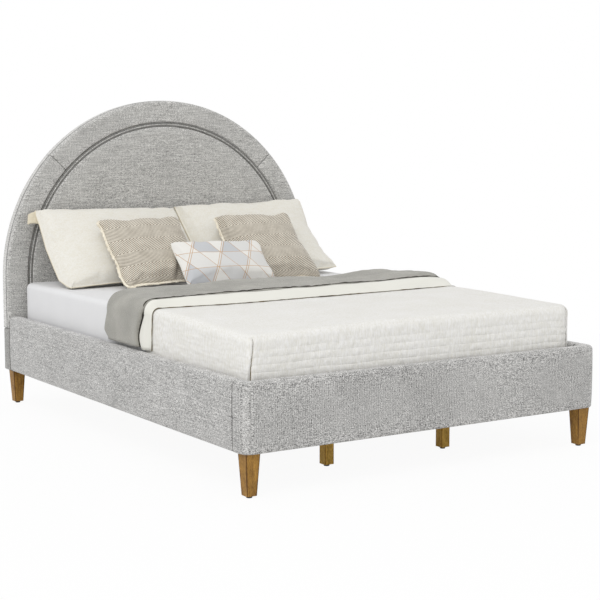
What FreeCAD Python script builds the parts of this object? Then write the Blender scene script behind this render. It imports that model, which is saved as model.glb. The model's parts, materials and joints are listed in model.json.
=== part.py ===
import FreeCAD, Part
import math
import os

# Upholstered platform bed with a half-round headboard, made up with its bedding.
# Millimetres. +Z is up, +Y points to the headboard, +X is the sleeper's right-hand side
# seen from the foot. The origin is on the floor, under the middle of the bed.

# Overall size
WIDTH = 1650
LENGTH = 2195
HALF_W = WIDTH / 2
FOOT_Y = -LENGTH / 2
HEAD_BACK_Y = LENGTH / 2

# Upholstered frame
FRAME_BOTTOM = 160
RAIL_TOP = 412
PAD_THICKNESS = 60
RAIL_IN_X = HALF_W - PAD_THICKNESS
FOOT_IN_Y = FOOT_Y + PAD_THICKNESS
RETURN_Y = FOOT_Y + 85
CORNER_RADIUS = 50
TOP_EDGE_RADIUS = 14
SKIN = 3
BOARD_THICKNESS = 30
BOARD_TOP = 390

# Headboard
HEAD_THICKNESS = 65
HEAD_FRONT_Y = HEAD_BACK_Y - HEAD_THICKNESS
ARCH_CENTRE_Z = 585
SPLIT_Z = 357
SPLIT_GAP = 2
PAD_DEPTH = 23.5
FACE_BOARD_THICKNESS = 12
EDGE_BAND_THICKNESS = 12
BACK_CLOTH_THICKNESS = 1.5
HEAD_FRAME_BAND = 60
BORDER_WIDTH = 104
CORD_RADIUS = 4
CORD_PITCH = 12
CORD_TAIL = 1.5
ARCH_TURNS = 6
LOWER_BOARD_FRONT_Y = HEAD_FRONT_Y + 20
FACE_BOARD_Y = HEAD_FRONT_Y + PAD_DEPTH
HEAD_FRAME_Y = FACE_BOARD_Y + FACE_BOARD_THICKNESS
CLOTH_Y = HEAD_BACK_Y - BACK_CLOTH_THICKNESS

# Legs and glides
LEG_X = 775
LEG_INSET_Y = 50
LEG_TOP = 58
LEG_BOTTOM = 40
LEG_EDGE_RADIUS = 2
BACK_LEG_Y = (HEAD_FRONT_Y + HEAD_BACK_Y) / 2 + 2.5
GLIDE_RADIUS = 11
GLIDE_HEIGHT = 8
NAIL_RADIUS = 1.5
NAIL_TOP = 25
CENTRE_LEG_SIZE = 40
CENTRE_LEG_PITCH = 792.5
LEG_BOLT_RADIUS = 4

# Corner posts in the footboard
POST_IN_X = 722
POST_OUT_X = 805
POST_FRONT_Y = FOOT_Y + 17.5
POST_TOP = 290

# Slat base
SLAT_COUNT = 12
SLAT_WIDTH = 90
SLAT_THICKNESS = 17
SLAT_HALF_LENGTH = 757
FIRST_SLAT_Y = -915
LEDGE_WIDTH = 35
LEDGE_TOP = 298
LEDGE_START_Y = -965
LEDGE_END_Y = 985
LEDGE_SCREWS = 5
STRAP_X = 500
STRAP_WIDTH = 30
STRAP_THICKNESS = 1.2
BEAM_X = 280
BEAM_WIDTH = 40
BEAM_HEIGHT = 60
REST_GAP = 0.3

# Steel hardware
STEEL = 4
HANGER_STEEL = 3
HANGER_DEPTH = 45
HANGER_WIDTH = 80
BRACKET_FLANGE = 45
BRACKET_BOTTOM = 185
BRACKET_TOP = 285
BRACKET_BOLT_Z = (210, 260)
BRACKET_BOLT_OFFSET = 27
HOLE_CLEARANCE = 0.2
PLATE_X = 580
PLATE_WIDTH = 40
PLATE_BOTTOM = 300
PLATE_TOP = 414
PLATE_SCREW_Z = (315, 340, 375, 400)

# Bedding: a queen mattress and what lies on it
MATTRESS_HALF_W = 752
MATTRESS_LENGTH = 2032
MATTRESS_HEAD_Y = HEAD_FRONT_Y - 5
MATTRESS_FOOT_Y = MATTRESS_HEAD_Y - MATTRESS_LENGTH
MATTRESS_BOTTOM = LEDGE_TOP + SLAT_THICKNESS + 2 * REST_GAP
MATTRESS_TOP = 565
MATTRESS_CORNER = 28
MATTRESS_EDGE = 25
SHEET = 1.5
SHEET_BOTTOM = 330
QUILT_HALF_W = 762
QUILT_FOOT_Y = FOOT_IN_Y + 3.5
QUILT_CORNER = 50
QUILT_TOP = 581
QUILT_FOOT_THICKNESS = 12
QUILT_BOTTOM = 335
CUFF_HALF_W = 778
CUFF_TOP = 614
BLANKET_HALF_W = 795
BLANKET_TOP = 618
OVERHANG_BOTTOM = RAIL_TOP + 4
LAYER_GAP = 0.4

# Cross lines of the bedding: the Y at the middle of the bed, and how far it moves in Y per unit of X
QUILT_LINE = (-198, 0.05)
CUFF_LINE = (-318, 0.05)
BLANKET_LINE = (202, 0.14)

# Pillows and cushions lean back at one angle, one row in front of the other
LEAN = math.radians(40)
SOFT_EDGE = 15
STACK_GAP = 4
REST_Z = 585
PILLOW_LENGTH = 500
PILLOW_THICKNESS = 130
PILLOW_FOOT_Y = 617
CUSHION_LENGTH = 430
CUSHION_THICKNESS = 110
LUMBAR_LENGTH = 280
LUMBAR_THICKNESS = 90
SOFT_TAPER = 0.24


def vec(x, y, z):
    return FreeCAD.Vector(x, y, z)


def box(x0, x1, y0, y1, z0, z1):
    return Part.makeBox(x1 - x0, y1 - y0, z1 - z0, vec(x0, y0, z0))


def mirrored(shape):
    """The same shape on the other side of the bed."""
    return shape.mirror(vec(0, 0, 0), vec(1, 0, 0))


def both_sides(shape):
    return Part.makeCompound([shape, mirrored(shape)])


def group(shapes):
    """Separate solids in one node."""
    return Part.makeCompound([solid for shape in shapes for solid in shape.Solids])


def rounded(shape, radius, wanted):
    """Fillets the edges that the test accepts."""
    edges = [edge for edge in shape.Edges if wanted(edge)]
    return shape.makeFillet(radius, edges)


def direction_of(edge):
    return edge.Vertexes[-1].Point - edge.Vertexes[0].Point


def is_upright(edge):
    way = direction_of(edge)
    return abs(way.x) < 1 and abs(way.y) < 1 and abs(way.z) > 1


def lies_at(edge, z):
    return all(abs(vertex.Z - z) < 0.01 for vertex in edge.Vertexes)


def save(name, shape):
    """One node: a lone solid, or a compound of separate solids."""
    solids = shape.Solids
    whole = solids[0] if len(solids) == 1 else Part.makeCompound(solids)
    whole.exportStep("parts/" + name + ".step")
    print(name, len(solids), "solids", round(whole.Volume / 1e6, 3), "litres", whole.isValid())


# ---------------------------------------------------------------- fasteners


def fastener(point, way, radius, length, head_radius, head_height):
    """A bolt with a flat head on the surface at point and its shank along way."""
    shank = Part.makeCylinder(radius, length, point, way)
    head = Part.makeCylinder(head_radius, head_height, point - way * head_height, way)
    return shank.fuse(head).removeSplitter()


def flush_screw(point, way, radius, length, head_radius, head_height):
    """A countersunk screw whose head ends level with the surface at point."""
    shank = Part.makeCylinder(radius, length, point, way)
    head = Part.makeCone(head_radius, radius, head_height, point, way)
    return shank.fuse(head).removeSplitter()


def bracket_bolt_places():
    """Point and direction of each bracket bolt on the +X side."""
    places = []
    for z in BRACKET_BOLT_Z:
        rail_face = RAIL_IN_X - STEEL
        places.append((vec(rail_face, RETURN_Y + BRACKET_BOLT_OFFSET, z), vec(1, 0, 0), 32))
        places.append((vec(rail_face, HEAD_FRONT_Y - BRACKET_BOLT_OFFSET, z), vec(1, 0, 0), 32))
        side = RAIL_IN_X - BRACKET_BOLT_OFFSET
        places.append((vec(side, RETURN_Y + STEEL, z), vec(0, -1, 0), 34))
        places.append((vec(side, HEAD_FRONT_Y - STEEL, z), vec(0, 1, 0), 48))
    return places


def ledge_screw_places():
    pitch = (LEDGE_END_Y - LEDGE_START_Y) / LEDGE_SCREWS
    middle_z = LEDGE_TOP - LEDGE_WIDTH / 2
    places = []
    for index in range(LEDGE_SCREWS):
        y = LEDGE_START_Y + pitch * (index + 0.5)
        places.append((vec(RAIL_IN_X - LEDGE_WIDTH, y, middle_z), vec(1, 0, 0), 60))
    return places


def hanger_screw_places():
    places = []
    for offset in (-30, 30):
        x = BEAM_X + offset
        z = LEDGE_TOP - BEAM_HEIGHT / 2
        places.append((vec(x, FOOT_IN_Y + HANGER_STEEL, z), vec(0, -1, 0), 30))
        places.append((vec(x, HEAD_FRONT_Y - HANGER_STEEL, z), vec(0, 1, 0), 48))
    return places


def plate_screw_places():
    return [(vec(PLATE_X, CLOTH_Y, z), vec(0, -1, 0), 26) for z in PLATE_SCREW_Z]


def bracket_bolts(clearance=0):
    r = 3 + clearance
    return both_sides(group(fastener(p, w, r, n + clearance, 7, 4) for p, w, n in bracket_bolt_places()))


def ledge_and_hanger_screws(clearance=0):
    places = ledge_screw_places() + hanger_screw_places()
    r = 2.2 + clearance
    return both_sides(group(fastener(p, w, r, n + clearance, 4.5, 2.5) for p, w, n in places))


def plate_screws(clearance=0):
    r = 2.2 + clearance
    head = 4 + clearance
    screws = [flush_screw(p, w, r, n + clearance, head, 2.5) for p, w, n in plate_screw_places()]
    return both_sides(group(screws))


def leg_places():
    """Centre of each leg on the +X side: corner legs first, then the centre ones."""
    corners = [(LEG_X, FOOT_Y + LEG_INSET_Y), (LEG_X, BACK_LEG_Y)]
    centres = [(BEAM_X, CENTRE_LEG_PITCH * step) for step in (-1, 0, 1)]
    return corners, centres


def leg_bolts(clearance=0):
    """Double-ended bolts, half in the leg and half in the frame above it."""
    r = LEG_BOLT_RADIUS + clearance
    corners, centres = leg_places()
    beam_bottom = LEDGE_TOP - BEAM_HEIGHT
    bolts = []
    for x, y in corners:
        bolts.append(Part.makeCylinder(r, 130 + 2 * clearance, vec(x, y, 100 - clearance)))
    for x, y in centres:
        bolts.append(Part.makeCylinder(r, 100 + 2 * clearance, vec(x, y, beam_bottom - 55 - clearance)))
    return both_sides(group(bolts))


def drilled(shape, *fasteners):
    """The shape with a clearance hole for each fastener that passes through it."""
    for fixing in fasteners:
        shape = shape.cut(fixing(HOLE_CLEARANCE))
    return shape


# ---------------------------------------------------------------- headboard


def arch_slab(inset, bottom, y0, y1):
    """A plate with straight sides and a half-round top, inset from the headboard's outline."""
    r = HALF_W - inset
    left_foot = vec(-r, y0, bottom)
    left_spring = vec(-r, y0, ARCH_CENTRE_Z)
    crown = vec(0, y0, ARCH_CENTRE_Z + r)
    right_spring = vec(r, y0, ARCH_CENTRE_Z)
    right_foot = vec(r, y0, bottom)
    edges = [
        Part.LineSegment(left_foot, left_spring).toShape(),
        Part.Arc(left_spring, crown, right_spring).toShape(),
        Part.LineSegment(right_spring, right_foot).toShape(),
        Part.LineSegment(right_foot, left_foot).toShape(),
    ]
    return Part.Face(Part.Wire(edges)).extrude(vec(0, y1 - y0, 0))


def arch_band(outer_inset, inner_inset, bottom, y0, y1):
    """The upside-down U between two insets of the outline."""
    inner = arch_slab(inner_inset, bottom - 1, y0 - 1, y1 + 1)
    return arch_slab(outer_inset, bottom, y0, y1).cut(inner)


def headboard_face_board():
    return arch_slab(EDGE_BAND_THICKNESS, SPLIT_Z, FACE_BOARD_Y, HEAD_FRAME_Y)


def headboard_frame():
    """Half-round timber frame with a cross rail at its foot, recessed for the joining plates."""
    inner_inset = EDGE_BAND_THICKNESS + HEAD_FRAME_BAND
    band = arch_band(EDGE_BAND_THICKNESS, inner_inset, SPLIT_Z, HEAD_FRAME_Y, CLOTH_Y)
    reach = HALF_W - inner_inset + 1
    rail = box(-reach, reach, HEAD_FRAME_Y, CLOTH_Y, SPLIT_Z, SPLIT_Z + HEAD_FRAME_BAND)
    frame = band.fuse(rail).removeSplitter().cut(joining_plates_blank())
    return drilled(frame, plate_screws)


def headboard_back_cloth():
    return arch_slab(EDGE_BAND_THICKNESS, SPLIT_Z, CLOTH_Y, HEAD_BACK_Y)


def headboard_edge_band():
    return arch_band(0, EDGE_BAND_THICKNESS, SPLIT_Z, FACE_BOARD_Y, HEAD_BACK_Y)


def headboard_border_pad():
    return arch_band(0, BORDER_WIDTH - REST_GAP, SPLIT_Z, HEAD_FRONT_Y, FACE_BOARD_Y)


def cord_radii():
    """Radii of the two piping cords, from the outer one in."""
    outer = HALF_W - BORDER_WIDTH - CORD_RADIUS
    return (outer, outer - CORD_PITCH)


def headboard_panel_pad():
    inset = HALF_W - cord_radii()[1] + CORD_RADIUS + REST_GAP
    return arch_slab(inset, SPLIT_Z, HEAD_FRONT_Y, FACE_BOARD_Y)


def swept_round_the_arch(face):
    """A section that stands at the arch's spring line, run down to the split and over the arch in short turns."""
    centre = vec(0, 0, ARCH_CENTRE_Z)
    axis = vec(0, 1, 0)
    turn = -180 / ARCH_TURNS
    first = face.revolve(centre, axis, turn)
    turns = []
    for index in range(ARCH_TURNS):
        part = first.copy()
        part.rotate(centre, axis, turn * index)
        turns.append(part)
    upright = face.extrude(vec(0, 0, SPLIT_Z - ARCH_CENTRE_Z))
    return upright.fuse(turns + [mirrored(upright)])


def welt(radius):
    """One piping cord with the flat tail that is stapled to the face board."""
    centre_y = HEAD_FRONT_Y + CORD_RADIUS + 1
    half_tail = CORD_TAIL / 2
    root_y = centre_y + math.sqrt(CORD_RADIUS**2 - half_tail**2)
    front = vec(radius, centre_y - CORD_RADIUS, ARCH_CENTRE_Z)
    root_in = vec(radius - half_tail, root_y, ARCH_CENTRE_Z)
    root_out = vec(radius + half_tail, root_y, ARCH_CENTRE_Z)
    end_out = vec(radius + half_tail, FACE_BOARD_Y, ARCH_CENTRE_Z)
    end_in = vec(radius - half_tail, FACE_BOARD_Y, ARCH_CENTRE_Z)
    edges = [
        Part.Arc(root_in, front, root_out).toShape(),
        Part.LineSegment(root_out, end_out).toShape(),
        Part.LineSegment(end_out, end_in).toShape(),
        Part.LineSegment(end_in, root_in).toShape(),
    ]
    return swept_round_the_arch(Part.Face(Part.Wire(edges)))


def headboard_welts():
    return group(welt(radius) for radius in cord_radii())


def headboard_lower_board():
    board = box(-810, 810, LOWER_BOARD_FRONT_Y, CLOTH_Y, FRAME_BOTTOM + SKIN, SPLIT_Z - SPLIT_GAP - SKIN)
    board = board.cut(joining_plates_blank())
    return drilled(board, plate_screws, bracket_bolts, ledge_and_hanger_screws, leg_bolts)


def headboard_lower_cover():
    top = SPLIT_Z - SPLIT_GAP
    cover = box(-HALF_W, HALF_W, HEAD_FRONT_Y, HEAD_BACK_Y, FRAME_BOTTOM, top)
    cover = rounded(cover, 6, is_upright)
    core = box(-810, 810, LOWER_BOARD_FRONT_Y, CLOTH_Y, FRAME_BOTTOM + SKIN, top - SKIN)
    cover = cover.cut(core).cut(joining_plates_blank())
    return drilled(cover, bracket_bolts, ledge_and_hanger_screws, leg_bolts)


def joining_plates_blank():
    half = PLATE_WIDTH / 2
    plate = box(PLATE_X - half, PLATE_X + half, CLOTH_Y - STEEL + 1, CLOTH_Y, PLATE_BOTTOM, PLATE_TOP)
    return both_sides(plate)


def headboard_joining_plates():
    return drilled(joining_plates_blank(), plate_screws)


# ---------------------------------------------------------------- footboard and rails


def post_blank():
    return box(POST_IN_X, POST_OUT_X, POST_FRONT_Y, RETURN_Y, FRAME_BOTTOM + SKIN, POST_TOP)


def footboard_post():
    """Block that takes a front leg's bolt and the corner bracket."""
    return drilled(post_blank(), bracket_bolts, leg_bolts)


def footboard_board_blank():
    y1 = FOOT_IN_Y - SKIN
    board = box(-795, 795, y1 - BOARD_THICKNESS, y1, FRAME_BOTTOM + SKIN, BOARD_TOP)
    return board.cut(both_sides(post_blank()))


def footboard_board():
    return drilled(footboard_board_blank(), ledge_and_hanger_screws)


def footboard_cover():
    """Padded cover that turns round both front corners and ends in a short return on each side."""
    outer = box(-HALF_W, HALF_W, FOOT_Y, RETURN_Y, FRAME_BOTTOM, RAIL_TOP)
    outer = rounded(outer, CORNER_RADIUS, lambda e: is_upright(e) and e.Vertexes[0].Y < FOOT_Y + 1)
    inner = box(-RAIL_IN_X, RAIL_IN_X, FOOT_IN_Y, RETURN_Y + 1, FRAME_BOTTOM - 1, RAIL_TOP + 1)
    cover = outer.cut(inner)
    cover = rounded(cover, TOP_EDGE_RADIUS, lambda e: lies_at(e, RAIL_TOP) and not is_end(e))
    cover = cover.cut(footboard_board_blank()).cut(both_sides(post_blank()))
    return drilled(cover, ledge_and_hanger_screws, leg_bolts)


def is_end(edge):
    """An edge of the footboard's two end faces, where the rails meet it."""
    return all(abs(vertex.Y - RETURN_Y) < 0.01 for vertex in edge.Vertexes)


def rail_board_blank():
    x0 = RAIL_IN_X + SKIN
    return box(x0, x0 + BOARD_THICKNESS, RETURN_Y + SKIN, HEAD_FRONT_Y - SKIN, FRAME_BOTTOM + SKIN, BOARD_TOP)


def rail_board():
    return drilled(rail_board_blank(), bracket_bolts, ledge_and_hanger_screws)


def rail_cover():
    cover = box(RAIL_IN_X, HALF_W, RETURN_Y, HEAD_FRONT_Y, FRAME_BOTTOM, RAIL_TOP)
    cover = rounded(cover, TOP_EDGE_RADIUS, lambda e: lies_at(e, RAIL_TOP) and abs(direction_of(e).y) > 1)
    return drilled(cover.cut(rail_board_blank()), bracket_bolts, ledge_and_hanger_screws)


def slat_ledge():
    ledge = box(
        RAIL_IN_X - LEDGE_WIDTH, RAIL_IN_X, LEDGE_START_Y, LEDGE_END_Y, LEDGE_TOP - LEDGE_WIDTH, LEDGE_TOP
    )
    return drilled(ledge, ledge_and_hanger_screws)


def corner_bracket(wall_y, way):
    """Angle bracket between a rail's inner face and the piece across its end. way is +1 or -1 along Y."""
    inner = RAIL_IN_X - BRACKET_FLANGE
    rail_ys = sorted((wall_y, wall_y + way * BRACKET_FLANGE))
    wall_ys = sorted((wall_y, wall_y + way * STEEL))
    on_rail = box(RAIL_IN_X - STEEL, RAIL_IN_X, *rail_ys, BRACKET_BOTTOM, BRACKET_TOP)
    on_wall = box(inner, RAIL_IN_X, *wall_ys, BRACKET_BOTTOM, BRACKET_TOP)
    return drilled(on_rail.fuse(on_wall).removeSplitter(), bracket_bolts)


def corner_brackets():
    front = corner_bracket(RETURN_Y, 1)
    back = corner_bracket(HEAD_FRONT_Y, -1)
    return both_sides(group([front, back]))


# ---------------------------------------------------------------- centre support and slats


def centre_beam():
    x0 = BEAM_X - BEAM_WIDTH / 2
    y0 = FOOT_IN_Y + HANGER_STEEL + REST_GAP
    y1 = HEAD_FRONT_Y - HANGER_STEEL - REST_GAP
    beam = box(x0, x0 + BEAM_WIDTH, y0, y1, LEDGE_TOP - BEAM_HEIGHT, LEDGE_TOP)
    return drilled(beam, leg_bolts).cut(ledge_and_hanger_screws(HOLE_CLEARANCE))


def beam_hanger(wall_y, way):
    """U-shaped steel cup on the wall at wall_y that holds one end of a beam."""
    steel = HANGER_STEEL
    half = BEAM_WIDTH / 2
    bottom = LEDGE_TOP - BEAM_HEIGHT
    plate_ys = sorted((wall_y, wall_y + way * steel))
    cup_ys = sorted((wall_y, wall_y + way * HANGER_DEPTH))
    plate = box(BEAM_X - HANGER_WIDTH / 2, BEAM_X + HANGER_WIDTH / 2, *plate_ys, bottom - steel, LEDGE_TOP)
    cup = box(BEAM_X - half - steel, BEAM_X + half + steel, *cup_ys, bottom - steel, LEDGE_TOP)
    hollow_ys = sorted((wall_y + way * steel, wall_y + way * (HANGER_DEPTH + 1)))
    hollow = box(BEAM_X - half, BEAM_X + half, *hollow_ys, bottom, LEDGE_TOP + 1)
    hanger = plate.fuse(cup).removeSplitter().cut(hollow)
    return drilled(hanger, ledge_and_hanger_screws)


def beam_hangers():
    return both_sides(group([beam_hanger(FOOT_IN_Y, 1), beam_hanger(HEAD_FRONT_Y, -1)]))


def slat(index):
    pitch = -2 * FIRST_SLAT_Y / (SLAT_COUNT - 1)
    middle = FIRST_SLAT_Y + pitch * index
    bottom = LEDGE_TOP + REST_GAP
    plank = box(
        -SLAT_HALF_LENGTH,
        SLAT_HALF_LENGTH,
        middle - SLAT_WIDTH / 2,
        middle + SLAT_WIDTH / 2,
        bottom,
        bottom + SLAT_THICKNESS,
    )
    return rounded(plank, 3, lambda e: abs(direction_of(e).x) > 1)


def slat_straps():
    """Webbing under the slats that keeps their spacing."""
    half = STRAP_WIDTH / 2
    end_y = -FIRST_SLAT_Y + SLAT_WIDTH / 2
    top = LEDGE_TOP + REST_GAP
    return both_sides(box(STRAP_X - half, STRAP_X + half, -end_y, end_y, top - STRAP_THICKNESS, top))


# ---------------------------------------------------------------- legs and glides


def square(side, z):
    half = side / 2
    corners = [vec(-half, -half, z), vec(half, -half, z), vec(half, half, z), vec(-half, half, z)]
    return Part.makePolygon(corners + corners[:1])


def nail_hole(x, y):
    return Part.makeCylinder(NAIL_RADIUS + HOLE_CLEARANCE, NAIL_TOP + 1, vec(x, y, 0))


def corner_leg(x, y):
    """Square leg that tapers evenly to its foot."""
    leg = Part.makeLoft([square(LEG_BOTTOM, GLIDE_HEIGHT), square(LEG_TOP, FRAME_BOTTOM)], True, True)
    leg = rounded(leg, LEG_EDGE_RADIUS, lambda e: abs(direction_of(e).z) > 1)
    leg.translate(vec(x, y, 0))
    return drilled(leg, leg_bolts).cut(nail_hole(x, y))


def centre_leg(x, y):
    """Straight square leg under a beam."""
    half = CENTRE_LEG_SIZE / 2
    leg = box(x - half, x + half, y - half, y + half, GLIDE_HEIGHT, LEDGE_TOP - BEAM_HEIGHT)
    leg = rounded(leg, LEG_EDGE_RADIUS, is_upright)
    return drilled(leg, leg_bolts).cut(nail_hole(x, y))


def glide(x, y):
    """Round glide with the nail that holds it under a leg."""
    disc = Part.makeCylinder(GLIDE_RADIUS, GLIDE_HEIGHT, vec(x, y, 0))
    disc = disc.makeChamfer(1, [edge for edge in disc.Edges if lies_at(edge, 0) and edge.Closed])
    nail = Part.makeCylinder(NAIL_RADIUS, NAIL_TOP - 1, vec(x, y, 1))
    return disc.fuse(nail).removeSplitter()


def leg_glides():
    corners, centres = leg_places()
    return both_sides(group(glide(x, y) for x, y in corners + centres))


# ---------------------------------------------------------------- bedding


def rounded_block(half_w, y0, y1, z0, z1, corner, edge):
    """A block with rounded upright corners and a rounded top edge."""
    block = box(-half_w, half_w, y0, y1, z0, z1)
    block = rounded(block, corner, is_upright)
    return rounded(block, edge, lambda e: lies_at(e, z1))


def mattress():
    block = rounded_block(
        MATTRESS_HALF_W,
        MATTRESS_FOOT_Y,
        MATTRESS_HEAD_Y,
        MATTRESS_BOTTOM,
        MATTRESS_TOP,
        MATTRESS_CORNER,
        MATTRESS_EDGE,
    )
    return rounded(block, MATTRESS_EDGE, lambda e: lies_at(e, MATTRESS_BOTTOM))


def sheet_block(extra=0):
    grow = SHEET + extra
    return rounded_block(
        MATTRESS_HALF_W + grow,
        MATTRESS_FOOT_Y - grow,
        MATTRESS_HEAD_Y + grow,
        SHEET_BOTTOM - extra,
        MATTRESS_TOP + grow,
        MATTRESS_CORNER + grow,
        MATTRESS_EDGE + grow,
    )


def fitted_sheet():
    """Sheet stretched over the mattress, down to its lower edge."""
    return sheet_block().cut(mattress())


def quilt_block(extra=0):
    y1 = MATTRESS_HEAD_Y
    return rounded_block(
        QUILT_HALF_W + extra, QUILT_FOOT_Y - extra, y1, QUILT_BOTTOM, QUILT_TOP + extra, QUILT_CORNER, 28
    )


def across(line, x):
    return line[0] + line[1] * x


def between_lines(front, back):
    """Everything between two cross lines of the bedding, for cutting a layer to length."""
    reach = HALF_W + 50
    corners = [
        vec(-reach, across(front, -reach), 0),
        vec(reach, across(front, reach), 0),
        vec(reach, across(back, reach), 0),
        vec(-reach, across(back, -reach), 0),
    ]
    return Part.Face(Part.makePolygon(corners + corners[:1])).extrude(vec(0, 0, 1000))


def shifted(line, step):
    return (line[0] + step, line[1])


def quilt():
    """Quilt over the foot end, tucked down between the mattress and the frame."""
    under = rounded_block(
        MATTRESS_HALF_W + SHEET + LAYER_GAP,
        QUILT_FOOT_Y + QUILT_FOOT_THICKNESS,
        MATTRESS_HEAD_Y + 10,
        QUILT_BOTTOM - 1,
        MATTRESS_TOP + SHEET + LAYER_GAP,
        40,
        MATTRESS_EDGE,
    )
    region = between_lines((FOOT_Y - 100, 0), shifted(QUILT_LINE, -LAYER_GAP))
    return quilt_block().cut(under).common(region)


def overlay(half_w, top, edge, under, front, back):
    """A folded layer that lies across the bed and hangs down to the top of the rails."""
    block = box(-half_w, half_w, FOOT_Y, HEAD_FRONT_Y, OVERHANG_BOTTOM, top)
    block = rounded(block, edge, lambda e: lies_at(e, top) and abs(direction_of(e).y) > 1)
    return block.cut(under).common(between_lines(front, back))


def top_sheet_cuff():
    """Top sheet turned down over the head end of the quilt."""
    line = shifted(QUILT_LINE, -LAYER_GAP)
    return overlay(CUFF_HALF_W, CUFF_TOP, 30, quilt_block(LAYER_GAP), CUFF_LINE, line)


def blanket():
    """Folded blanket across the mattress."""
    return overlay(BLANKET_HALF_W, BLANKET_TOP, 60, sheet_block(LAYER_GAP), QUILT_LINE, BLANKET_LINE)


def leaning_point(foot_y, along, above):
    """Y and Z of a point along a leaning cushion's middle plane and above it."""
    y = foot_y + along * math.cos(LEAN) - above * math.sin(LEAN)
    z = REST_Z + along * math.sin(LEAN) + above * math.cos(LEAN)
    return y, z


def foot_in_front(foot_y, thickness_behind, thickness):
    """Foot of the next cushion, which leans on the one behind it and stands at the same height."""
    step = (thickness_behind + thickness) / 2 + STACK_GAP
    return foot_y - step / math.sin(LEAN)


def leaning_cushion(x0, x1, foot_y, length, thickness):
    """A pad that thins towards its lower and upper edges."""
    half = thickness / 2
    edge = SOFT_EDGE
    taper = length * SOFT_TAPER
    outline = [
        (0, -edge),
        (taper, -half),
        (length - taper, -half),
        (length, -edge),
        (length, edge),
        (length - taper, half),
        (taper, half),
        (0, edge),
    ]
    corners = [vec(x0, *leaning_point(foot_y, along, above)) for along, above in outline]
    return Part.Face(Part.makePolygon(corners + corners[:1])).extrude(vec(x1 - x0, 0, 0))


def save_pillows():
    cushion_foot = foot_in_front(PILLOW_FOOT_Y, PILLOW_THICKNESS, CUSHION_THICKNESS)
    lumbar_foot = foot_in_front(cushion_foot, CUSHION_THICKNESS, LUMBAR_THICKNESS)
    pillow = (PILLOW_FOOT_Y, PILLOW_LENGTH, PILLOW_THICKNESS)
    cushion = (cushion_foot, CUSHION_LENGTH, CUSHION_THICKNESS)
    lumbar = (lumbar_foot, LUMBAR_LENGTH, LUMBAR_THICKNESS)
    save("pillow_left", leaning_cushion(-718, 16, *pillow))
    save("pillow_right", leaning_cushion(22, 748, *pillow))
    save("cushion_left", leaning_cushion(-506, -84, *cushion))
    save("cushion_right", leaning_cushion(98, 520, *cushion))
    save("lumbar_cushion", leaning_cushion(-281, 184, *lumbar))


# ---------------------------------------------------------------- all nodes


def save_pair(name, shape):
    save(name + "_right", shape)
    save(name + "_left", mirrored(shape))


def save_headboard():
    save("headboard_face_board", headboard_face_board())
    save("headboard_frame", headboard_frame())
    save("headboard_back_cloth", headboard_back_cloth())
    save("headboard_edge_band", headboard_edge_band())
    save("headboard_border_pad", headboard_border_pad())
    save("headboard_welts", headboard_welts())
    save("headboard_panel_pad", headboard_panel_pad())
    save("headboard_lower_board", headboard_lower_board())
    save("headboard_lower_cover", headboard_lower_cover())
    save("headboard_joining_plates", headboard_joining_plates())


def save_frame():
    save("footboard_board", footboard_board())
    save("footboard_cover", footboard_cover())
    save("footboard_posts", both_sides(footboard_post()))
    save_pair("rail_board", rail_board())
    save_pair("rail_cover", rail_cover())
    save_pair("slat_ledge", slat_ledge())
    save_pair("centre_beam", centre_beam())
    save("beam_hangers", beam_hangers())
    save("corner_brackets", corner_brackets())


def save_fasteners():
    save("bracket_bolts", bracket_bolts())
    save("frame_screws", group([ledge_and_hanger_screws(), plate_screws()]))
    save("leg_bolts", leg_bolts())


def save_legs():
    corners, centres = leg_places()
    for place, (x, y) in zip(("front", "back"), corners):
        save_pair("leg_" + place, corner_leg(x, y))
    for place, (x, y) in zip(("foot", "middle", "head"), centres):
        save_pair("centre_leg_" + place, centre_leg(x, y))
    save("leg_glides", leg_glides())


def save_slats():
    for index in range(SLAT_COUNT):
        save("slat_%02d" % (index + 1), slat(index))
    save("slat_straps", slat_straps())


def save_bedding():
    save("mattress", mattress())
    save("fitted_sheet", fitted_sheet())
    save("quilt", quilt())
    save("top_sheet_cuff", top_sheet_cuff())
    save("blanket", blanket())
    save_pillows()


os.makedirs("parts", exist_ok=True)
save_headboard()
save_frame()
save_fasteners()
save_legs()
save_slats()
save_bedding()
print(len(os.listdir("parts")), "nodes")
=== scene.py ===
import json
import math

import bmesh
import bpy
import numpy as np
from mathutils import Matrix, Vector, noise


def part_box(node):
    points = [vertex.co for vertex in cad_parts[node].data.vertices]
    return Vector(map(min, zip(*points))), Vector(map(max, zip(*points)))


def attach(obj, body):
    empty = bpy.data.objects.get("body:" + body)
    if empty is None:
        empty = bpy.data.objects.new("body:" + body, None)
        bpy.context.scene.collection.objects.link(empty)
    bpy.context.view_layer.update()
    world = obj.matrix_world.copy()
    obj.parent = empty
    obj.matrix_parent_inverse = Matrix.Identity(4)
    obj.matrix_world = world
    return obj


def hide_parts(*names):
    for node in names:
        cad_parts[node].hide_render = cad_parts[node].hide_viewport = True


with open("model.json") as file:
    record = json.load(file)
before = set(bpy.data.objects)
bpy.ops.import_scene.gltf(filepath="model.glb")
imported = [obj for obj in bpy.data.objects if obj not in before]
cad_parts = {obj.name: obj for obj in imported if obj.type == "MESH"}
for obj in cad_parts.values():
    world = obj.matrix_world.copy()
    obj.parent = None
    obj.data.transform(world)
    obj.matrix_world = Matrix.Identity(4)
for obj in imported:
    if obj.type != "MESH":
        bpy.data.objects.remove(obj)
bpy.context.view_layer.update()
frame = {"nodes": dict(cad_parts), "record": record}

# Upholstered platform bed with a half-round headboard, made up with its bedding.
# Metres, in the CAD frame: +Z up, +Y to the headboard, the origin on the floor.

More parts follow.
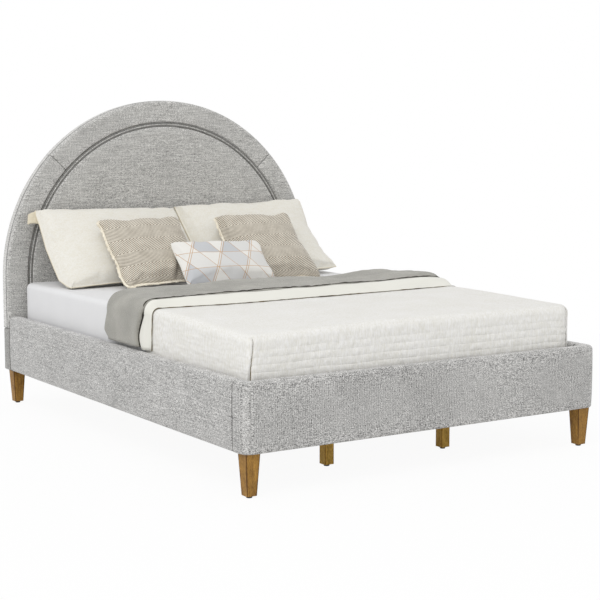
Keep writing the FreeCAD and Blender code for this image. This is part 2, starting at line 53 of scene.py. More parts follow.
SLOT_OF = {row["node"]: row["material_slot"] for row in frame["record"]["subparts"]}
BODY_OF = {
    node: body for body, nodes in frame["record"]["behaviour"]["bodies"].items() for node in nodes
}
MM = 0.001
RANDOM = np.random.default_rng(7)

# Places taken from the CAD model
BAND_LOW, BAND_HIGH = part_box("headboard_edge_band")
BORDER_LOW, BORDER_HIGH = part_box("headboard_border_pad")
PANEL_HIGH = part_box("headboard_panel_pad")[1]
LOWER_LOW, LOWER_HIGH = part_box("headboard_lower_cover")
FOOT_LOW, FOOT_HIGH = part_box("footboard_cover")
RAIL_LOW, RAIL_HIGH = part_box("rail_cover_right")
SHEET_LOW, SHEET_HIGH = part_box("fitted_sheet")
QUILT_LOW, QUILT_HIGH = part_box("quilt")
CUFF_LOW, CUFF_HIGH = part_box("top_sheet_cuff")
BLANKET_LOW, BLANKET_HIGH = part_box("blanket")
MATTRESS_LOW, MATTRESS_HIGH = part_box("mattress")

RADIUS = BAND_HIGH.x
ARCH_Z = BAND_HIGH.z - RADIUS
SPLIT_Z = BAND_LOW.z
HEAD_FRONT_Y = BORDER_LOW.y
FACE_BOARD_Y = BORDER_HIGH.y
HEAD_BACK_Y = BAND_HIGH.y
BORDER_WIDTH = 104 * MM
CORD_RADIUS = 4 * MM
CORD_PITCH = 12 * MM
CORNER_RADIUS = 50 * MM
MATTRESS_CORNER = 58 * MM

# The arch's outline from foot to foot, and the places on it where the border's lengths are sewn
# together: this many degrees up from the level of the arch's centre
SEAM_ANGLE = 43.5
OUTLINE = 2 * (ARCH_Z - SPLIT_Z) + math.pi * RADIUS
SEAM_REACH = math.radians(90 - SEAM_ANGLE) * RADIUS
SEAMS = (OUTLINE / 2 - SEAM_REACH, OUTLINE / 2 + SEAM_REACH)

# Cross lines of the bedding, as in the CAD: Y at the middle of the bed and change of Y per X
QUILT_LINE = (-198 * MM, 0.05)
CUFF_LINE = (-318 * MM, 0.05)
BLANKET_LINE = (202 * MM, 0.14)

# The slope that the pillows and cushions lie on, up from level
LEAN = math.radians(40)


# ---------------------------------------------------------------- shapes


def grid_quads(rows, cols, wrap_rows=False, wrap_cols=False):
    """Quads that join a grid of points, rows by columns."""
    i, j = np.indices((rows - 1 + wrap_rows, cols - 1 + wrap_cols))
    below, beside = (i + 1) % rows, (j + 1) % cols
    corners = [i * cols + j, below * cols + j, below * cols + beside, i * cols + beside]
    return np.stack(corners, -1).reshape(-1, 4)


def tube_faces(rows, cols, ring=False):
    """Faces of a closed section with cols points carried through rows places, its ends filled."""
    faces = grid_quads(rows, cols, wrap_rows=ring, wrap_cols=True).tolist()
    if not ring:
        faces.append(list(range(cols)))
        faces.append(list(range((rows - 1) * cols, rows * cols))[::-1])
    return faces


def edge_of(grid):
    """Rows of a grid's edge points, in order round it."""
    rows, cols = grid.shape[:2]
    index = np.arange(rows * cols).reshape(rows, cols)
    return np.concatenate([index[:-1, 0], index[-1, :-1], index[:0:-1, -1], index[0, :0:-1]])


def shell_mesh(front, back):
    """Points and faces of a closed mesh between two grids of the same shape."""
    half = front.shape[0] * front.shape[1]
    quads = grid_quads(*front.shape[:2])
    rim = np.append(edge_of(front), 0)
    sides = np.column_stack([rim[1:], rim[:-1], rim[:-1] + half, rim[1:] + half])
    faces = np.concatenate([quads, quads[:, ::-1] + half, sides]).tolist()
    return np.concatenate([front.reshape(-1, 3), back.reshape(-1, 3)]), faces


def unit(vectors):
    return vectors / np.linalg.norm(vectors, axis=-1, keepdims=True)


def rounded_outline(corners, spacing):
    """Points along a closed outline whose corners are (x, y, radius), at most spacing apart."""
    places = [np.array(corner[:2], float) for corner in corners]
    points = []
    for index, here in enumerate(places):
        radius = corners[index][2]
        before = unit(places[index - 1] - here)
        after = unit(places[(index + 1) % len(places)] - here)
        half = math.acos(np.clip(before @ after, -1, 1)) / 2
        turn = math.pi - 2 * half
        centre = here + unit(before + after) * radius / math.sin(half)
        start = here + before * radius / math.tan(half) - centre
        end = here + after * radius / math.tan(half) - centre
        steps = max(3, math.ceil(radius * turn / (1.5 * MM)))
        for t in np.linspace(0, 1, min(steps, 12)):
            arc = math.sin((1 - t) * turn) * start + math.sin(t * turn) * end
            points.append(centre + arc / math.sin(turn))
    return spaced(points, spacing)


def spaced(points, spacing):
    """The same closed line with points added wherever two are further apart than spacing."""
    made = []
    for a, b in zip(points, points[1:] + points[:1]):
        parts = max(1, math.ceil(np.linalg.norm(b - a) / spacing))
        made += [a + (b - a) * k / parts for k in range(parts)]
    return np.array(made)


def rough(points, size, seed=0):
    """Smooth noise at each point, with features of about this size in metres."""
    shift = Vector((7.31, 3.17, 5.73)) * (seed + 1)
    flat = (points.reshape(-1, 3) / size).tolist()
    return np.array([noise.noise(Vector(p) + shift) for p in flat]).reshape(points.shape[:-1])


def rolled(distance, radius):
    """How far a rounded edge of this radius has dropped, at a distance in from its side."""
    inside = np.clip(1 - distance / radius, 0, 1)
    return radius * (1 - np.sqrt(1 - inside**2))


def dent(distance, width):
    """A narrow dip of depth one around distance zero."""
    return np.exp(-((distance / width) ** 2))


def smooth_step(value, low, high):
    t = np.clip((value - low) / (high - low), 0, 1)
    return t * t * (3 - 2 * t)


def across(line, x):
    """Y of one of the bedding's cross lines at x."""
    return line[0] + line[1] * x


def put_in_scene(name, data, material=None):
    """An object with this data."""
    if material:
        data.materials.append(MATERIALS[material])
    made = bpy.data.objects.new(name, data)
    bpy.context.scene.collection.objects.link(made)
    return made


def new_mesh(name, points, faces, smooth=True):
    mesh = bpy.data.meshes.new(name)
    mesh.from_pydata(points.reshape(-1, 3).tolist(), [], faces, shade_flat=not smooth)
    return mesh


def add_object(name, points, faces, material, smooth=True):
    """A mesh object with doubled points joined and its faces turned outwards."""
    mesh = new_mesh(name, points, faces, smooth)
    shape = bmesh.new()
    shape.from_mesh(mesh)
    bmesh.ops.remove_doubles(shape, verts=shape.verts, dist=0.02 * MM)
    bmesh.ops.recalc_face_normals(shape, faces=shape.faces)
    shape.to_mesh(mesh)
    shape.free()
    return put_in_scene(name, mesh, material)


def add_tube(name, points, material):
    """A closed section carried along: rows of points, its ends filled."""
    return add_object(name, points, tube_faces(*points.shape[:2]), material)


def add_cord(name, points, radius, material, cad_node, closed=True, swell=None):
    """A thin cord along a line of points. swell multiplies its radius at each point."""
    data = bpy.data.curves.new(name, "CURVE")
    data.dimensions = "3D"
    data.bevel_depth = radius
    data.bevel_resolution = 2
    spline = data.splines.new("POLY")
    spline.points.add(len(points) - 1)
    spline.points.foreach_set("co", np.column_stack([points, np.ones(len(points))]).ravel())
    if swell is not None:
        spline.points.foreach_set("radius", swell)
    spline.use_cyclic_u = closed
    belongs_to(put_in_scene(name, data, material), cad_node)


def with_thickness(piece, thickness):
    """Gives a sheet its thickness, inwards."""
    solid = piece.modifiers.new("thickness", "SOLIDIFY")
    solid.thickness = thickness
    solid.offset = -1
    return piece


def stand_for(piece, cad_node):
    """The piece takes the place and body of this CAD node, which is hidden."""
    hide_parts(cad_node)
    return belongs_to(piece, cad_node)


def belongs_to(piece, cad_node):
    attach(piece, BODY_OF[cad_node])
    return piece


# ---------------------------------------------------------------- material nodes


def feed(tree, made, inputs):
    """Links each input whose value is a socket, and sets any other."""
    for key, value in inputs.items():
        if isinstance(value, bpy.types.NodeSocket):
            tree.links.new(value, made.inputs[key])
        else:
            made.inputs[key].default_value = value


def node(tree, kind, inputs, **settings):
    """Adds a shader node of this kind, with these inputs and settings."""
    made = tree.nodes.new("ShaderNode" + kind)
    for key, value in settings.items():
        setattr(made, key, value)
    feed(tree, made, inputs)
    return made


def maths(tree, operation, a, b=0.0, c=0.0):
    return node(tree, "Math", {0: a, 1: b, 2: c}, operation=operation).outputs[0]


def added(tree, total, *parts):
    """The total with each of the parts, (value, share), added to it."""
    for value, share in parts:
        total = maths(tree, "MULTIPLY_ADD", value, share, total)
    return total


def place(tree, scale=(1, 1, 1), source="Object"):
    """The piece's own coordinates, scaled."""
    coordinates = node(tree, "TexCoord", {}).outputs[source]
    return node(tree, "Mapping", {"Vector": coordinates, "Scale": scale}).outputs[0]


def noisy(tree, scale, detail=2.0, roughness=0.5, where=None):
    """Noise over the piece. scale is one number, or one for each axis."""
    axes, scale = (scale, 1.0) if isinstance(scale, tuple) else ((1, 1, 1), scale)
    inputs = {
        "Vector": where or place(tree, axes),
        "Scale": scale,
        "Detail": detail,
        "Roughness": roughness,
    }
    return node(tree, "TexNoise", inputs).outputs[0]


def wave(tree, pitch, direction, distortion, stretch=(1, 1, 1)):
    """Ridges this far apart, in metres, along an axis of the piece."""
    # At a scale of one, the texture's bands along an axis are 2 pi / 20 apart.
    inputs = {
        "Vector": place(tree, stretch),
        "Scale": 2 * math.pi / (20 * pitch),
        "Distortion": distortion,
        "Detail": 1.0,
    }
    settings = {"wave_type": "BANDS", "bands_direction": direction}
    return node(tree, "TexWave", inputs, **settings).outputs[1]


def scaled_range(tree, value, low, high, to_low, to_high):
    """Maps value from low..high to to_low..to_high, and holds it within them."""
    inputs = {0: value, 1: low, 2: high, 3: to_low, 4: to_high}
    return node(tree, "MapRange", inputs).outputs[0]


def ramp(tree, value, low, high, dark, light):
    """Maps value from low..high to the colours dark..light."""
    share = scaled_range(tree, value, low, high, 0.0, 1.0)
    return node(tree, "Mix", {0: share, 6: dark, 7: light}, data_type="RGBA").outputs[2]


def tinted(colour, factor):
    """The colour made darker or lighter by a factor."""
    return (*(min(1.0, channel * factor) for channel in colour[:3]), 1)


def linear(*levels):
    """Linear colour from the three 0-255 values that a colour picker gives."""
    shares = [level / 255 for level in levels]
    return (*(s / 12.92 if s <= 0.04045 else ((s + 0.055) / 1.055) ** 2.4 for s in shares), 1)


def new_material(name, recipe, *values):
    """A material. Its recipe adds nodes and gives the shader's inputs and its bumps, one over
    another: (height, distance in metres, strength) each.
    """
    material = bpy.data.materials.new(name)
    material.use_nodes = True
    tree = material.node_tree
    inputs, bumps = recipe(tree, *values)
    for height, distance, strength in bumps:
        bump = {"Height": height, "Distance": distance, "Strength": strength}
        if "Normal" in inputs:
            bump["Normal"] = inputs["Normal"]
        inputs["Normal"] = node(tree, "Bump", bump).outputs[0]
    feed(tree, tree.nodes["Principled BSDF"], inputs)
    return material


def bare_material(name, surface):
    """A material whose surface, a function of its tree, takes the place of the usual shader."""
    material = bpy.data.materials.new(name)
    material.use_nodes = True
    tree = material.node_tree
    tree.nodes.clear()
    node(tree, "OutputMaterial", {"Surface": surface(tree)})
    return material


# ---------------------------------------------------------------- materials


def cloth(tone, roughness, sheen=0.15, level=0.2):
    """Shader inputs of a woven cloth."""
    return {
        "Base Color": tone,
        "Roughness": roughness,
        "Sheen Weight": sheen,
        "Specular IOR Level": level,
    }


def heather(tree, colour, fleck=0.76, slub=0.2):
    """Woven upholstery in two tones of yarn: level flecks over a fine thread grid, with long thick
    slubs of yarn. fleck is how far apart the tones are, slub how much of the tone the slubs give.
    """
    flecks = noisy(tree, (185, 185, 540), 2.0, 0.6)
    slubs = noisy(tree, (20, 20, 430), 1.0)
    uprights = noisy(tree, (300, 300, 45), 1.0)
    patches = noisy(tree, 5.0)
    wefts = wave(tree, 3.3 * MM, "Z", 1.2)
    warps = wave(tree, 3.9 * MM, "DIAGONAL", 0.8, (1, 1, 0))
    threads = maths(tree, "MULTIPLY", wefts, warps)
    parts = [(slubs, slub), (uprights, 0.08), (threads, 0.12), (patches, 0.08)]
    mixed = added(tree, flecks, *parts)
    middle, spread = 0.61 + 0.5 * slub, 0.19
    dark, light = tinted(colour, 1 - fleck), tinted(colour, 1 + fleck)
    tone = ramp(tree, mixed, middle - spread, middle + spread, dark, light)
    inputs = cloth(tone, scaled_range(tree, mixed, 0.8, 1.3, 0.95, 0.8), 0.6, 0.25)
    inputs["Sheen Roughness"] = 0.4
    return inputs, [(threads, 0.45 * MM, 0.6), (mixed, 1.08 * MM, 0.7)]


def wood(tree, dark, light, stretch, roughness, rings=14.0):
    """Timber with long grain. stretch is small along the grain."""
    grain = noisy(tree, tuple(220 * s for s in stretch), 6.0, 0.62)
    lines = {"Scale": rings, "Distortion": 5.0, "Detail": 3.0, "Detail Scale": 1.5}
    settings = {"wave_type": "BANDS", "bands_direction": "DIAGONAL"}
    lines["Vector"] = place(tree, stretch)
    figure = node(tree, "TexWave", lines, **settings).outputs[1]
    mixed = added(tree, maths(tree, "MULTIPLY", grain, 0.75), (figure, 0.45))
    inputs = {
        "Base Color": ramp(tree, mixed, 0.25, 0.95, dark, light),
        "Roughness": scaled_range(tree, grain, 0.3, 0.7, roughness + 0.12, roughness - 0.06),
        "Coat Weight": 0.15,
        "Coat Roughness": 0.35,
    }
    return inputs, [(grain, 0.25 * MM, 0.6)]


def stained_wood(tree, dark, light, foot=1.0):
    """Stained rubberwood of the legs: short dark pores over cloudy stain that gathers at the edges.

    foot is the leg's width at its foot, as a share of its width at the top.
    """
    pores = noisy(tree, (520, 520, 120), 3.0, 0.6)
    figure = noisy(tree, (70, 70, 9), 3.0, 0.6)
    clouds = noisy(tree, 24.0)
    mixed = added(tree, maths(tree, "MULTIPLY", pores, 0.75), (figure, 0.55), (clouds, 0.3))
    own = node(tree, "SeparateXYZ", {0: place(tree, source="Generated")}).outputs
    out = [maths(tree, "ABSOLUTE", maths(tree, "MULTIPLY_ADD", own[k], 2.0, -1.0)) for k in (0, 1)]
    width = maths(tree, "MULTIPLY_ADD", own[2], 1 - foot, foot)
    to_edge = maths(tree, "DIVIDE", maths(tree, "MINIMUM", *out), width)
    mixed = maths(tree, "SUBTRACT", mixed, scaled_range(tree, to_edge, 0.84, 0.98, 0.0, 0.4))
    inputs = {
        "Base Color": ramp(tree, mixed, 0.55, 1.05, dark, light),
        "Roughness": scaled_range(tree, pores, 0.3, 0.7, 0.6, 0.4),
        "Specular IOR Level": 0.3,
    }
    return inputs, [(pores, 0.3 * MM, 0.6)]


def steel(tree, colour, roughness):
    """Plated or painted steel with cloudy patches and fine scuffs."""
    mixed = added(tree, noisy(tree, 60.0, 4.0), (noisy(tree, (900, 140, 900), 3.0, 0.7), 0.5))
    inputs = {
        "Base Color": ramp(tree, mixed, 0.5, 1.0, tinted(colour, 0.78), tinted(colour, 1.15)),
        "Roughness": scaled_range(tree, mixed, 0.5, 1.0, roughness + 0.15, roughness - 0.08),
        "Metallic": 0.9,
    }
    return inputs, [(mixed, 0.1 * MM, 0.5)]


def moulded_plastic(tree, colour):
    """Dark plastic with a fine grain, worn in patches."""
    wear = noisy(tree, 120.0, 4.0)
    inputs = {
        "Base Color": ramp(tree, wear, 0.35, 0.7, tinted(colour, 0.8), tinted(colour, 1.4)),
        "Roughness": scaled_range(tree, wear, 0.3, 0.7, 0.6, 0.42),
    }
    return inputs, [(noisy(tree, 2500.0), 0.06 * MM, 0.5)]


def plain_cloth(tree, colour, variation, pitch, crinkle=0.0, sheen=0.15, crinkle_size=18.0):
    """Plain-woven cotton: a fine thread grid, soft creases and slight unevenness of tone."""
    threads = [wave(tree, pitch, direction, 0.6) for direction in ("Z", "DIAGONAL")]
    threads = maths(tree, "MULTIPLY", *threads)
    clouds = noisy(tree, 9.0, 4.0)
    mixed = added(tree, clouds, (threads, 0.25))
    dark, light = tinted(colour, 1 - variation), tinted(colour, 1 + variation)
    tone = ramp(tree, mixed, 0.4, 0.85, dark, light)
    bumps = [(threads, 0.15 * MM, 0.5)]
    if crinkle:
        bumps.append((noisy(tree, crinkle_size, 5.0, 0.62), crinkle, 1.0))
    return cloth(tone, scaled_range(tree, clouds, 0.3, 0.7, 0.9, 0.78), sheen, 0.25), bumps


def matelasse(tree, colour, shade):
    """Quilted cotton with a crinkled, ribbed face: shade is its colour in the hollows, painted
    shade where the crinkles sink.
    """
    crinkles = noisy(tree, (230, 150, 48), 3.0, 0.6)
    fine = noisy(tree, 420.0, 3.0, 0.6)
    mixed = added(tree, crinkles, (fine, 0.3), (noisy(tree, 7.0, 3.0), 0.25))
    # Painted shade: the tone darkens and warms where the crinkles sink.
    tone = ramp(tree, mixed, 0.58, 0.92, shade, colour)
    bumps = [(fine, 0.5 * MM, 0.5), (crinkles, 3.0 * MM, 0.8)]
    return cloth(tone, scaled_range(tree, mixed, 0.5, 1.1, 0.95, 0.85)), bumps


def crinkled_cotton(tree, colour, shade):
    """Washed cotton with a soft dense crinkle. Its tone falls to shade in the hollows of the
    crinkles and creases: painted shade.
    """
    crinkles = noisy(tree, 150.0, 3.0, 0.6)
    creases = noisy(tree, (22, 60, 60), 3.0, 0.55)
    mixed = added(tree, crinkles, (creases, 0.5), (noisy(tree, 6.0), 0.15))
    # Painted shade: the tone darkens and warms where the crinkles and creases sink.
    tone = ramp(tree, mixed, 0.62, 0.98, shade, colour)
    bumps = [(crinkles, 1.6 * MM, 0.6), (creases, 3.0 * MM, 0.6)]
    return cloth(tone, scaled_range(tree, mixed, 0.6, 1.2, 0.92, 0.82)), bumps


def woven_place(tree):
    """The cushion's own flat coordinates, across it, up it and out of it, whole and one by one."""
    weave = node(tree, "Attribute", {}, attribute_name="weave").outputs["Vector"]
    return weave, node(tree, "SeparateXYZ", {0: weave}).outputs


def herringbone(tree, yarn, ground):
    """Two-tone herringbone: slanting ribs that change direction from row to row."""
    # The height of a row, the width of a rib, and how far the ribs rise across the cushion
    row, rib, slant = 77 * MM, 8.8 * MM, -0.52
    weave, axes = woven_place(tree)
    folded = maths(tree, "PINGPONG", axes[1], row)
    height = added(tree, folded, (axes[0], slant), (noisy(tree, 90.0, where=weave), 2.0 * MM))
    ribs = maths(tree, "SINE", maths(tree, "MULTIPLY", height, 2 * math.pi / rib))
    ribs = maths(tree, "MULTIPLY_ADD", ribs, 0.5, 0.5)
    clouds = noisy(tree, 26.0, 4.0, where=weave)
    mixed = added(tree, ribs, (clouds, 0.5))
    tone = ramp(tree, mixed, 0.2, 1.2, ground, yarn)
    bumps = [(ribs, 0.9 * MM, 0.7), (clouds, 2.0 * MM, 0.5)]
    return cloth(tone, scaled_range(tree, mixed, 0.2, 1.2, 0.95, 0.82), 0.2), bumps


def stripes(tree, axes, angle, pitch, offset):
    """How far a point is from the nearest of a set of parallel lines, and which gap between them it
    is in.
    """
    slant = maths(tree, "MULTIPLY", axes[0], math.cos(math.radians(angle)) / pitch)
    along = added(tree, slant, (axes[1], math.sin(math.radians(angle)) / pitch))
    along = maths(tree, "ADD", along, offset)
    nearest = maths(tree, "MULTIPLY", maths(tree, "PINGPONG", along, 0.5), pitch)
    return nearest, maths(tree, "FLOOR", along)


def faceted_print(tree):
    """Plain cotton printed with white and pale grey-blue triangles between thin gold lines."""
    weave, axes = woven_place(tree)
    # Three sets of lines: the angle across them in degrees, how far apart they are in metres, and
    # how far they are shifted, as a share of that
    sets = [(90, 0.094, 0.30), (32, 0.088, 0.15), (-28, 0.131, 0.62)]
    (first, second, third), gaps = zip(*(stripes(tree, axes, *lines) for lines in sets))
    doubled = maths(tree, "ABSOLUTE", maths(tree, "SUBTRACT", third, 4.5 * MM))
    nearest = maths(tree, "MINIMUM", maths(tree, "MINIMUM", first, second), doubled)
    line = scaled_range(tree, nearest, 0.8 * MM, 1.4 * MM, 1.0, 0.0)
    cell = node(tree, "CombineXYZ", dict(enumerate(gaps))).outputs[0]
    shade = node(tree, "TexWhiteNoise", {"Vector": cell}).outputs[0]
    tone = ramp(tree, shade, 0.4, 0.8, linear(232, 230, 225), linear(196, 198, 201))
    fibre = noisy(tree, 500.0, 3.0, where=weave)
    fibres = {0: tone, "Scale": scaled_range(tree, fibre, 0.3, 0.7, 0.96, 1.03)}
    tone = node(tree, "VectorMath", fibres, operation="SCALE").outputs[0]
    inputs = {
        "Base Color": ramp(tree, line, 0.0, 1.0, tone, linear(186, 140, 84)),
        "Roughness": scaled_range(tree, line, 0.0, 1.0, 0.85, 0.45),
        "Sheen Weight": 0.1,
    }
    return inputs, [(fibre, 0.25 * MM, 0.5), (line, 0.15 * MM, 0.6)]


def white_where_seen(tree, shown, hidden, amount):
    """Mixes in plain white for what is seen directly, mirrored or through glass."""
    path = node(tree, "LightPath", {}).outputs
    seen = maths(tree, "MAXIMUM", path["Is Camera Ray"], path["Is Glossy Ray"])
    seen = maths(tree, "MAXIMUM", seen, path["Is Transmission Ray"])
    seen = maths(tree, "MULTIPLY", seen, amount)
    return node(tree, "MixShader", {0: seen, 1: hidden, 2: shown}).outputs[0]


def matt_white(tree):
    """Pale floor that fades to the plain background away from the bed."""
    matt = node(tree, "BsdfDiffuse", {"Color": (0.86, 0.86, 0.86, 1)}).outputs[0]
    white = node(tree, "Emission", {"Color": (1, 1, 1, 1), "Strength": 1.0}).outputs[0]
    away = node(tree, "VectorMath", {0: place(tree)}, operation="LENGTH").outputs["Value"]
    return white_where_seen(tree, white, matt, scaled_range(tree, away, 1.6, 3.5, 0.94, 1.0))


RECIPES = {
    "frame_fabric": ("heather_grey", heather, linear(179, 178, 176), 0.92),
    "headboard_fabric": ("heather_grey_streaked", heather, linear(188, 187, 184), 0.66, 0.32),
    "band_fabric": ("heather_grey_light", heather, linear(206, 205, 202), 0.6),
    "lower_fabric": ("heather_grey_dark", heather, linear(150, 149, 146)),
    "welt_fabric": ("welt_grey", heather, linear(124, 123, 120), 0.5),
    # seam_shadow is dark cloth for the cords and strips that paint the shade in seams, grooves and
    # gaps
    "seam_shadow": ("seam_tape", plain_cloth, linear(84, 83, 81), 0.1, 1.5 * MM),
    "plywood": (
        "plywood", wood, linear(171, 136, 92), linear(214, 182, 138), (1, 1, 0.08), 0.6, 9.0,
    ),
    "timber": ("timber", wood, linear(190, 156, 110), linear(222, 192, 148), (1, 0.06, 1), 0.6),
    "slat_wood": (
        "slat_wood", wood, linear(196, 164, 116), linear(226, 198, 152), (0.05, 1, 1), 0.55,
    ),
    "leg_wood": ("leg_wood", stained_wood, linear(84, 52, 6), linear(190, 143, 66), 0.69),
    # The centre legs' wood is a lighter copy of the leg wood, painted light for the shade under the
    # bed
    "centre_leg_wood": ("centre_leg_wood", stained_wood, linear(140, 96, 6), linear(255, 212, 104)),
    "zinc_steel": ("zinc_steel", steel, (0.62, 0.62, 0.60), 0.38),
    "black_steel": ("black_steel", steel, (0.035, 0.035, 0.037), 0.5),
    "glide_plastic": ("glide_plastic", moulded_plastic, (0.018, 0.017, 0.016)),
    "webbing": ("webbing", plain_cloth, linear(62, 62, 64), 0.15, 2.2 * MM),
    "mattress_ticking": ("ticking", plain_cloth, linear(226, 224, 219), 0.03, 1.4 * MM, 1.5 * MM),
    "white_sheet": (
        "white_sheet", plain_cloth, linear(228, 228, 229), 0.012, 0.9 * MM, 0.8 * MM, 0.1, 7.0,
    ),
    "quilt_cotton": ("quilt_cotton", matelasse, linear(240, 239, 237), linear(226, 224, 216)),
    "cuff_cotton": (
        "cuff_cotton", plain_cloth, linear(232, 231, 223), 0.02, 1.2 * MM, 0.9 * MM, 0.15, 30.0,
    ),
    "blanket_wool": (
        "blanket_wool", plain_cloth, linear(169, 167, 159), 0.16, 2.0 * MM, 4.6 * MM, 0.3, 180.0,
    ),
    "pillow_cotton": (
        "pillow_cotton", crinkled_cotton, linear(232, 230, 223), linear(225, 221, 209),
    ),
    # The sham's flap is cloth in a darker, warmer copy of the pillow cotton: painted shade
    "flap_cotton": ("flap_cotton", crinkled_cotton, linear(226, 218, 198), linear(216, 206, 182)),
    "cushion_weave": ("cushion_weave", herringbone, linear(233, 226, 212), linear(114, 103, 87)),
    "fringe_yarn": ("fringe_yarn", plain_cloth, linear(250, 243, 226), 0.04, 1.0 * MM),
    "sham_lining": ("sham_lining", plain_cloth, linear(222, 212, 188), 0.05, 1.2 * MM),
    # trim_cord is the dark taupe of the cuff's trim, and also of the cords that paint the shadow
    # under the quilt's mitre folds
    "trim_cord": ("trim_cord", plain_cloth, linear(112, 98, 70), 0.6, 5.0 * MM),
    # edging_yarn is the near-black cord that paints the shadow line along the blanket's front edge
    "edging_yarn": ("edging_yarn", plain_cloth, linear(62, 58, 50), 0.5, 3.0 * MM),
    "lumbar_print": ("lumbar_print", faceted_print),
}
MATERIALS = {key: new_material(*recipe) for key, recipe in RECIPES.items()}
MATERIALS["floor"] = bare_material("floor", matt_white)


def finish_cad_nodes():
    """Gives every CAD node the material of its own slot, and the centre legs the lighter leg wood,
    painted light. stand_for hides those that a piece replaces.
    """
    for name, obj in frame["nodes"].items():
        obj.data.materials.clear()
        # The centre legs get the lighter wood: painted light for the shade under the bed.
        material = "centre_leg_wood" if name.startswith("centre_leg") else SLOT_OF[name]
        obj.data.materials.append(MATERIALS[material])


# ---------------------------------------------------------------- headboard


def on_outline(stations, radii, depths):
    """Points at these distances from the arch's centre and these Y, at each station along its
    outline. Both are one row, or one row for each station.
    """
    beyond = stations - (ARCH_Z - SPLIT_Z)
    angle = math.pi - np.clip(beyond / RADIUS, 0, math.pi)
    height = ARCH_Z - np.maximum(-beyond, 0) - np.maximum(beyond - math.pi * RADIUS, 0)
    radii = np.broadcast_to(radii, (len(stations), np.shape(radii)[-1]))
    depths = np.broadcast_to(depths, radii.shape)
    x = np.cos(angle)[:, None] * radii
    z = height[:, None] + np.sin(angle)[:, None] * radii
    return np.stack([x, depths, z], -1)


def section_on_outline(corners, fineness, spacing):
    """A section with these corners, (radius, Y, rounding), carried along the arch's outline. Its
    stations are closer together about the seams.
    """
    section = rounded_outline(corners, fineness)
    near = np.array([-16, -11, -7, -4.5, -3, -2, -1, 0, 1, 2, 3, 4.5, 7, 11, 16]) * MM
    even = np.linspace(0, OUTLINE, int(OUTLINE / spacing) + 1)
    stations = np.unique(np.concatenate([even, *(seam + near for seam in SEAMS)]))
    return section, stations, on_outline(stations, section[:, 0], section[:, 1])


def near_seams(stations, width):
    """A column for the stations: one at a seam, and fading over this width beside it."""
    return sum(dent(stations - seam, width) for seam in SEAMS)[:, None]


def add_seams(name, stations, points, radius, cad_node):
    """A ring of dark cord at each place where a cover's lengths are sewn together: the seam's
    thread, with painted shade in its crease.
    """
    for side, seam in zip(("left", "right"), SEAMS):
        ring = points[np.abs(stations - seam).argmin()]
        add_cord(f"{name}_{side}", ring, radius, "seam_shadow", cad_node)


def border_pad():
    """Wide padded border, sewn from three lengths, that rolls over at both edges."""
    inner, outer = RADIUS - BORDER_WIDTH + 0.3 * MM, RADIUS - 0.5 * MM
    back = FACE_BOARD_Y - 0.4 * MM
    corners = [
        (outer, back, 5 * MM),
        (outer, HEAD_FRONT_Y, 13 * MM),
        (inner, HEAD_FRONT_Y, 10 * MM),
        (inner, back, 1 * MM),
    ]
    section, stations, points = section_on_outline(corners, 7 * MM, 11 * MM)
    across_border = (section[:, 0] - inner) / (RADIUS - inner)
    crown = 1.5 * MM * np.abs(2 * across_border - 1) ** 3
    front = smooth_step(FACE_BOARD_Y - section[:, 1], 4 * MM, 12 * MM)
    crease = near_seams(stations, 3.0 * MM) * front * 3.6 * MM
    pull = near_seams(stations, 16 * MM) * front * 1.6 * MM
    waves = rough(points, 0.16) * 1.3 * MM * front
    points[..., 1] += crown * front + crease + pull + waves + 0.6 * MM * front
    piece = add_tube("border_pad", points, "headboard_fabric")
    stand_for(piece, "headboard_border_pad")
    add_seams("border_seam_shade", stations, points, 1.0 * MM, "headboard_border_pad")


def edge_band():
    """Fabric band round the headboard's edge, behind the border's seam."""
    inner, front = RADIUS - 12 * MM, FACE_BOARD_Y + 0.4 * MM
    corners = [
        (inner, front, 1 * MM),
        (RADIUS, front, 5 * MM),
        (RADIUS, HEAD_BACK_Y, 5 * MM),
        (inner, HEAD_BACK_Y, 1 * MM),
    ]
    section, stations, points = section_on_outline(corners, 6 * MM, 12 * MM)
    outside = smooth_step(section[:, 0], inner + 5 * MM, RADIUS - 1 * MM)
    sink = near_seams(stations, 2.2 * MM) * 2.0 * MM * outside
    sink = sink + (rough(points, 0.12, 3) + 0.6) * 0.7 * MM * outside
    centre = np.stack([np.zeros(len(points)), np.minimum(ARCH_Z, points[:, 0, 2])], -1)
    points[..., [0, 2]] -= unit(points[..., [0, 2]] - centre[:, None]) * sink[..., None]
    stand_for(add_tube("edge_band", points, "band_fabric"), "headboard_edge_band")
    # A dark cord in the groove behind the border's edge paints that groove's shade.
    line = on_outline(stations, [RADIUS - 2.6 * MM], [FACE_BOARD_Y])[:, 0]
    add_cord("band_seam_shade", line, 2.6 * MM, "seam_shadow", "headboard_edge_band", closed=False)
    add_seams("band_seam_shade", stations, points, 0.9 * MM, "headboard_edge_band")


def round_cord(stations, radius, depth, thickness, count):
    """Points of a round cord along the arch's outline, count of them round it."""
    turn = np.linspace(0, 2 * math.pi, count, endpoint=False)
    return on_outline(stations, radius + thickness * np.cos(turn), depth + thickness * np.sin(turn))


